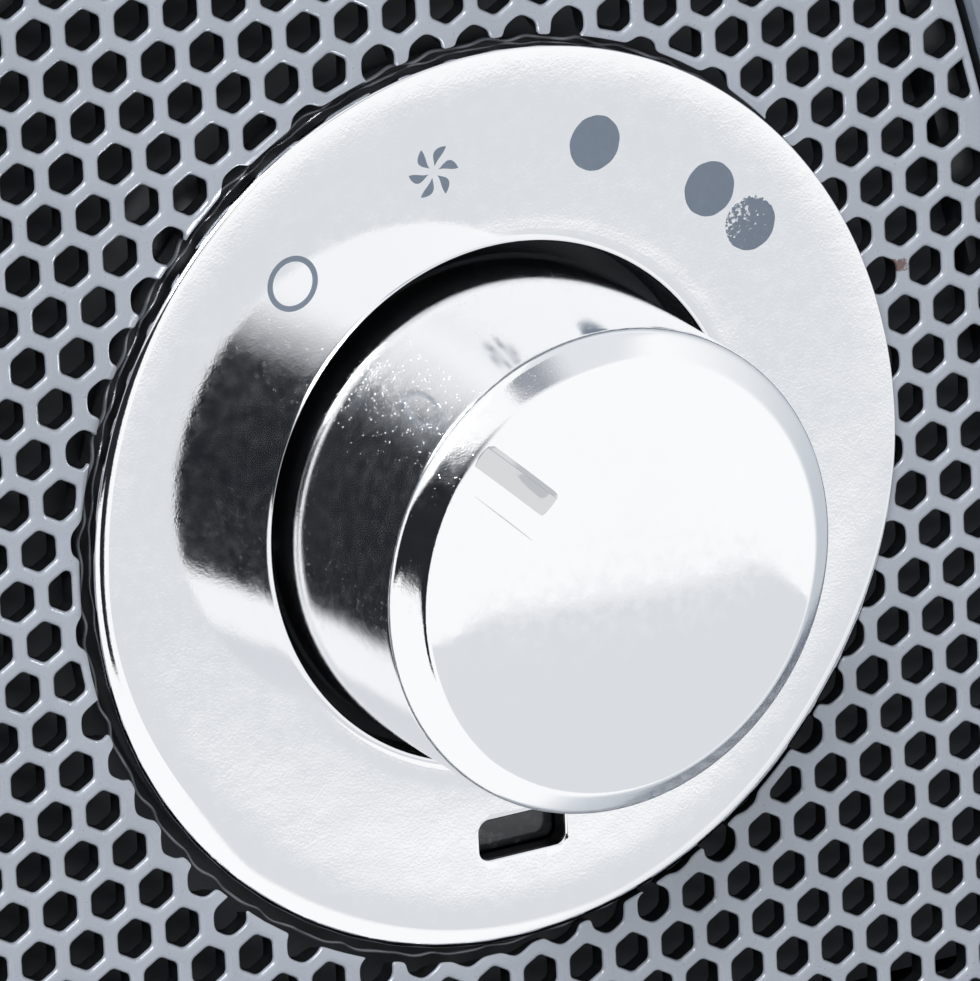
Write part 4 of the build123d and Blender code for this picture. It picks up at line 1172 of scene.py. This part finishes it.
v, f, ring = lathe(curve + skirt + inner, (0.0, 0.0), 360)
FRONT_AT, BASE_AT = (1.6, 170.67), (1.7, 172.05)
n_out = len(curve) + len(skirt)
prof = curve + skirt + inner
row_of = [k for k, (r, y) in enumerate(prof) for _ in range(1 if r < 1e-6 else 360)]
bent = []
for (x, y, z), row in zip(v, row_of):
    t = min(max((y - Y_NOSE) / (Y_MESH + 2.2 - Y_NOSE), 0), 1)
    w = 1.0 if row < n_out else min(max((math.hypot(x, z) - 6.5) / 9.0, 0), 1)
    cx, cz = (FRONT_AT[k] + (BASE_AT[k] - FRONT_AT[k]) * t for k in (0, 1))
    sx, sz = 1 + 0.012 * (1 - t) + 0.0155 * t, 1 - 0.008 * (1 - t) + 0.0155 * t
    bent.append((KN[0] + x + w * (cx - KN[0] + x * (sx - 1)), y, KN[1] + z + w * (cz - KN[1] + z * (sz - 1))))
kinds = []
for k in ring:
    r, y = prof[k]
    kinds.append(1 if k < len(curve) and r < 16.99 and y < h17 + 0.02 else 2 if k < len(curve) - 2 and r < 19.2 else 3 if k < n_out else 0)
knob = make("chrome_knob", bent, f, ["chrome", "chrome_face", "chrome_rim", "chrome_skirt", "crease", "chrome_groove_shaded"], "knob", kinds)
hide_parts("control_knob")


def groove_cutter():
    """Shallow pocket beside the centre line: a short steep side, a crease and a long flat side. It runs out through the rim."""
    a = math.radians(137.0)
    ux, uz = math.cos(a), math.sin(a)
    shape = ((1.30, -3.0, 0), (1.262, -0.03, 0), (1.25, 0.0, 1), (1.06, 0.047, 1), (0.86, 0.097, 1), (0.81, 0.118, 1), (0.76, 0.122, 1), (0.35, 0.168, 1),
             (0.05, 0.195, 1), (-0.15, 0.20, 1), (-0.55, 0.165, 1), (-0.95, 0.095, 1), (-1.17, 0.040, 1), (-1.22, 0.012, 1), (-1.24, -0.03, 0), (-1.30, -3.0, 0))
    verts, faces, idx = [], [], []
    runs = [9.55, 9.68, 9.82, 9.98, 10.16, 10.4, 10.7, 11.1, 11.5, 12, 13, 14, 15, 16, 16.6, 17.0, 17.4, 18, 19, 20, 22, 24]
    for s in runs:
        for t, d, floor_ in shape:
            s2 = s + 0.08 * (1.25 - t) * max((14.0 - s) / 4.45, 0.0)          # slanted inner end
            off = (t + 1.24) * 0.857
            k = min(max((s - 9.55) / 1.0, 0), 1)
            k = k * (2 - k)
            r = math.hypot(s2, off)
            base = Y_NOSE + dome(min(r, 17.0)) + max(min(r, 19.0) - 17.0, 0) * -0.6
            dd = d * k - 0.03 * (1 - k) if floor_ else d
            verts.append((FRONT_AT[0] + s2 * ux + off * uz, base + dd, FRONT_AT[1] + s2 * uz - off * ux))
    n = len(shape)
    for k in range(len(runs) - 1):
        for i in range(n):
            j = (i + 1) % n
            faces.append((k * n + i, k * n + j, (k + 1) * n + j, (k + 1) * n + i))
            # the crease strip (face 4) takes the crease material, painted shade; the other faces take the dimmed groove
            # chrome, painted shade
            idx.append(4 if i == 4 else 5)
    faces.append(tuple(range(n)))
    faces.append(tuple((len(runs) - 1) * n + i for i in range(n))[::-1])
    ob = loose("groove_cutter", verts, faces, ["chrome", "chrome_face", "chrome_rim", "chrome_skirt", "crease", "chrome_groove_shaded"])
    for q, k in zip(ob.data.polygons, idx + [5, 5]):
        q.material_index = k
    bm = bmesh.new()
    bm.from_mesh(ob.data)
    bmesh.ops.triangulate(bm, faces=[q for q in bm.faces if len(q.verts) > 4])
    print("groove cutter: open edges", len([e for e in bm.edges if len(e.link_faces) != 2]))
    bm.to_mesh(ob.data)
    bm.free()
    return ob


cut(knob, groove_cutter(), 30)
bm = bmesh.new()
bm.from_mesh(knob.data)
for e in bm.edges:
    if len(e.link_faces) == 2 and e.link_faces[0].material_index != e.link_faces[1].material_index and max(q.material_index for q in e.link_faces) >= 4:
        e.smooth = False
bm.to_mesh(knob.data)
bm.free()

# faint raised line beside the groove
verts, faces = [], []
(ax, az), (bx, bz) = (-13.02, 9.61), (-8.22, 5.06)
long = math.hypot(bx - ax, bz - az)
nx, nz = -(bz - az) / long, (bx - ax) / long
for i in range(25):
    t = i / 24
    w = 0.085 * math.sin(math.pi * min(max(t, 0.03), 0.97)) ** 0.5
    for g, up in ((-w, -0.01), (-0.4 * w, 0.018), (0.4 * w, 0.018), (w, -0.01)):
        x, z = ax + (bx - ax) * t + nx * g, az + (bz - az) * t + nz * g
        verts.append((FRONT_AT[0] + x, Y_NOSE + dome(math.hypot(x, z)) - up, FRONT_AT[1] + z))
for i in range(24):
    for j in range(4):
        faces.append((4 * i + j, 4 * i + (j + 1) % 4, 4 * i + 4 + (j + 1) % 4, 4 * i + 4 + j))
faces += [(0, 1, 2, 3), (99, 98, 97, 96)]
fix_out(make("knob_face_line", verts, faces, ["face_line"], "knob"))

# ---------------------------------------------------------------- symbols on the bezel
def on_bezel(x, z):
    return Y_MESH + bezel_front(nominal(x, z)) - TILT * (z - BEZ[1])


def printed(name, rings):
    """A thin raised print. rings: closed loops of (x, z) from the outline to the inside; the last closes on itself or is a hole."""
    verts, faces = [], []
    lift = 0.025
    n = len(rings[0])
    rows = [(rings[0], -0.01)] + [(r, lift) for r in rings] + ([(rings[-1], -0.01)] if name.endswith("ring") else [])
    for pts, up in rows:
        verts += [(x, on_bezel(x, z) - up, z) for x, z in pts]
    for k in range(len(rows) - 1):
        for i in range(n):
            j = (i + 1) % n
            faces.append((k * n + i, k * n + j, (k + 1) * n + j, (k + 1) * n + i))
    if not name.endswith("ring"):
        faces.append(tuple(range((len(rows) - 1) * n, len(rows) * n)))
    ob = make(name, verts, faces, ["print_worn" if name.endswith("dot_b") else "print"], "housing")
    return ob


def circle(cx, cz, r, n=72, wobble=None):
    pts = []
    for i in range(n):
        a = 2 * math.pi * i / n
        rr = r * (wobble(a) if wobble else 1.0)
        pts.append((cx + rr * math.cos(a), cz + rr * math.sin(a)))
    return pts


def at(px, pz):
    return BEZ[0] - 0.53 + px * PITCH, BEZ[1] + 0.27 + pz * PITCH


cx, cz = at(-4.208, 5.073)
ro = 0.5275 * PITCH
printed("symbol_off_ring", [circle(cx, cz, ro - 0.45 * k / 4) for k in range(5)])
for name, (cx, cz), worn in (("symbol_one_dot", at(2.238, 6.534), False), ("symbol_high_dot_a", at(4.648, 5.193), False),
                             ("symbol_high_dot_b", at(5.5, 4.372), True)):
    def wobble(a, worn=worn):
        edge = 1 + 0.006 * math.sin(7 * a) + 0.004 * math.sin(13 * a + 1)
        if worn:
            up = math.exp(-((a - math.radians(70)) / 0.55) ** 2)
            edge -= up * (0.07 + 0.06 * math.sin(23 * a) + 0.05 * math.sin(41 * a + 2))
        return edge
    printed(name, [circle(cx, cz, ro * (1 - k / 6), 96, wobble if k < 3 else None) for k in range(6)])


def petal(cx, cz, phi):
    """One curved blade of the fan symbol."""
    left, right = [], []
    m = 16
    for i in range(m + 1):
        t = i / m
        r = (0.12 + 0.40 * t) * PITCH
        a = phi - math.radians(17) * t ** 1.4
        w = 0.094 * PITCH * (math.sin(math.pi * min(t ** 1.45, 1.0)) ** 0.9 if 0 < t < 1 else 0) + 0.004 * PITCH
        ax, az = math.cos(a), math.sin(a)
        left.append((cx + r * ax - 1.25 * w * az, cz + r * az + 1.25 * w * ax))
        right.append((cx + r * ax + 0.55 * w * az, cz + r * az - 0.55 * w * ax))
    return right + left[::-1]


verts, faces = [], []
cx, cz = at(-1.179, 6.625)
for k in range(6):
    loop = petal(cx, cz, math.radians(75 + 60 * k))
    n = len(loop)
    b = len(verts)
    m = (n // 2)
    verts += [(x, on_bezel(x, z) + 0.01, z) for x, z in loop] + [(x, on_bezel(x, z) - 0.025, z) for x, z in loop]
    for i in range(n):
        j = (i + 1) % n
        faces.append((b + i, b + j, b + n + j, b + n + i))
    for i in range(m - 1):
        faces.append((b + n + i, b + n + i + 1, b + n + n - 2 - i, b + n + n - 1 - i))
make("symbol_fan", verts, faces, ["print"], "housing")

# ---------------------------------------------------------------- lamp window lens
lo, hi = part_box("indicator_lens")
ly = lo.y / MM
lens_rows = [(stadium(WIN[0], WIN[1], WIN_W, WIN_H, WIN_R, g), ly + d) for g, d in
             ((-0.04, hi.y / MM - ly), (-0.04, 0.22), (-0.10, 0.09), (-0.22, 0.02), (-0.5, -0.02), (-0.68, -0.035))]
v, f = stack(lens_rows)
lens = make("lamp_window", v, f, ["lens"], "housing")
fix_out(lens)
lens.data.set_sharp_from_angle(angle=math.radians(50))
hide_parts("indicator_lens")

# ---------------------------------------------------------------- stage
me = bpy.data.meshes.new("floor")
me.from_pydata([(-30, -30, 0), (30, -30, 0), (30, 30, 0), (-30, 30, 0)], [], [(0, 1, 2, 3)])
floor = bpy.data.objects.new("floor", me)
bpy.context.scene.collection.objects.link(floor)
fm = Mat("floor_pale", (0.80, 0.81, 0.82), 0.85)
fm.link(fm.ramp(fm.noise(6, 3), [(0.3, (0.79, 0.80, 0.81)), (0.7, (0.81, 0.82, 0.83))]), "Base Color")
me.materials.append(fm.m)
floor.visible_glossy = False

world = bpy.data.worlds.new("studio")
bpy.context.scene.world = world
world.use_nodes = True
wt = world.node_tree
wt.nodes.clear()


def wn(kind, **kw):
    n = wt.nodes.new(kind)
    for k, v in kw.items():
        setattr(n, k, v)
    return n


def wmath(op, a, b=0.0):
    n = wn("ShaderNodeMath", operation=op)
    for k, v in enumerate((a, b)):
        if isinstance(v, (int, float)):
            n.inputs[k].default_value = v
        else:
            wt.links.new(v, n.inputs[k])
    return n.outputs[0]


def wstep(src, a, b):
    """0 before a, 1 after b, smooth between; a may be larger than b."""
    n = wn("ShaderNodeMapRange", interpolation_type="SMOOTHSTEP")
    for k, v in zip(("From Min", "From Max", "To Min", "To Max"), (a, b, 0.0, 1.0) if a < b else (b, a, 1.0, 0.0)):
        n.inputs[k].default_value = v
    wt.links.new(src, n.inputs["Value"])
    return n.outputs[0]


def wmix(fac, a, b):
    n = wn("ShaderNodeMix", data_type="RGBA")
    wt.links.new(fac, n.inputs[0])
    for sock, v in ((6, a), (7, b)):
        if isinstance(v, tuple):
            n.inputs[sock].default_value = (*v, 1)
        else:
            wt.links.new(v, n.inputs[sock])
    return n.outputs[2]


ray = wn("ShaderNodeTexCoord").outputs["Generated"]
sep = wn("ShaderNodeSeparateXYZ")
wt.links.new(ray, sep.inputs[0])
X, Y, Z = sep.outputs
elev = wmath("MULTIPLY", wmath("ARCSINE", Z), 57.29578)
azim = wmath("MULTIPLY", wmath("ARCTAN2", X, wmath("MULTIPLY", Y, -1.0)), 57.29578)
# a grey table below, greyer to the right and overhead, and the dark shape of the camera stand on the left
wave = wmath("MULTIPLY", wmath("SINE", wmath("MULTIPLY", azim, 0.25)), 0.12)
edge = wmath("ADD", wmath("MULTIPLY", wmath("MAXIMUM", wmath("SUBTRACT", 25.0, azim), 0.0), 0.1275),
             wmath("MULTIPLY", wmath("MAXIMUM", wmath("SUBTRACT", azim, 35.0), 0.0), 0.226))
above = wmath("ADD", wmath("ADD", elev, edge), wmath("ADD", wave, 18.52))
table = wmath("MULTIPLY", wstep(above, 0.18, -0.18), wstep(elev, -55.0, -50.0))
table = wmath("MULTIPLY", table, wmath("MULTIPLY", wstep(azim, -1.5, 2.0), wstep(azim, 72.0, 62.0)))
low = wmath("ADD", elev, wmath("MULTIPLY", wmath("MINIMUM", wmath("MAXIMUM", wmath("SUBTRACT", -30.0, azim), 0.0), 14.0), -1.95))
stand = wmath("MULTIPLY", wstep(azim, -84.0, -76.0), wstep(azim, -18.5, -21.0))
stand = wmath("MULTIPLY", stand, wmath("MULTIPLY", wstep(elev, 27.0, 22.0), wstep(low, -33.0, -30.0)))
slant = wmath("ADD", elev, wmath("MULTIPLY", wmath("ADD", azim, 26.0), -0.4))
haze = wmath("MULTIPLY", wmath("MULTIPLY", wstep(azim, -35.0, -31.0), wstep(azim, -1.0, -25.0)), wmath("MULTIPLY", wstep(elev, 14.0, 19.0), wstep(slant, 31.5, 28.0)))
right = wmath("MULTIPLY", wstep(azim, 58.0, 105.0), wstep(azim, 170.0, 150.0))
top = wmath("MULTIPLY", wmath("MULTIPLY", wstep(elev, 36.0, 42.0), wstep(elev, 86.0, 78.0)), wmath("MULTIPLY", wstep(azim, -2.0, 8.0), wstep(azim, 75.0, 60.0)))
spot = wmath("MULTIPLY", wmath("MULTIPLY", wstep(elev, 42.0, 44.5), wstep(elev, 54.0, 51.5)), wmath("MULTIPLY", wstep(azim, -4.0, 0.0), wstep(azim, 26.0, 8.0)))
col = wmix(right, (1.01, 1.015, 1.02), (0.56, 0.60, 0.65))
col = wmix(top, col, (0.80, 0.82, 0.85))
col = wmix(spot, col, (0.33, 0.35, 0.39))
col = wmix(haze, col, (0.10, 0.11, 0.125))
col = wmix(table, col, (0.745, 0.765, 0.795))
col = wmix(stand, col, (0.018, 0.020, 0.024))
path = wn("ShaderNodeLightPath")
seen = wmix(path.outputs["Is Glossy Ray"], (0.30, 0.305, 0.315), col)
bg = wn("ShaderNodeBackground")
bg.inputs["Strength"].default_value = 1.0
wt.links.new(seen, bg.inputs["Color"])
wo = wn("ShaderNodeOutputWorld")
wt.links.new(bg.outputs[0], wo.inputs[0])


def area(name, at, to, size, watts, color=(1, 1, 1)):
    d = bpy.data.lights.new(name, "AREA")
    d.shape, d.size, d.energy, d.color = "DISK", size, watts, color
    o = bpy.data.objects.new(name, d)
    o.location = at
    o.rotation_mode = "QUATERNION"
    o.rotation_quaternion = (Vector(to) - Vector(at)).to_track_quat("-Z", "Y")
    bpy.context.scene.collection.objects.link(o)
    return o


area("key", (-0.75, -0.95, 1.25), (0, -0.05, 0.16), 0.8, 25.0)

cam_data = bpy.data.cameras.new("camera")
cam = bpy.data.objects.new("camera", cam_data)
bpy.context.scene.collection.objects.link(cam)
cam_data.sensor_fit, cam_data.sensor_width, cam_data.lens = "HORIZONTAL", 36.0, 473.84
cam_data.clip_start, cam_data.clip_end = 0.01, 100.0
cam.matrix_world = Matrix((
    (CAM_R[0], CAM_U[0], -CAM_F[0], CAM_AT[0] * MM),
    (CAM_R[1], CAM_U[1], -CAM_F[1], CAM_AT[1] * MM),
    (CAM_R[2], CAM_U[2], -CAM_F[2], CAM_AT[2] * MM),
    (0, 0, 0, 1)))
bpy.context.scene.camera = cam
bpy.context.scene.view_settings.view_transform = "Standard"
bpy.context.scene.view_settings.look = "None"

bpy.context.view_layer.update()
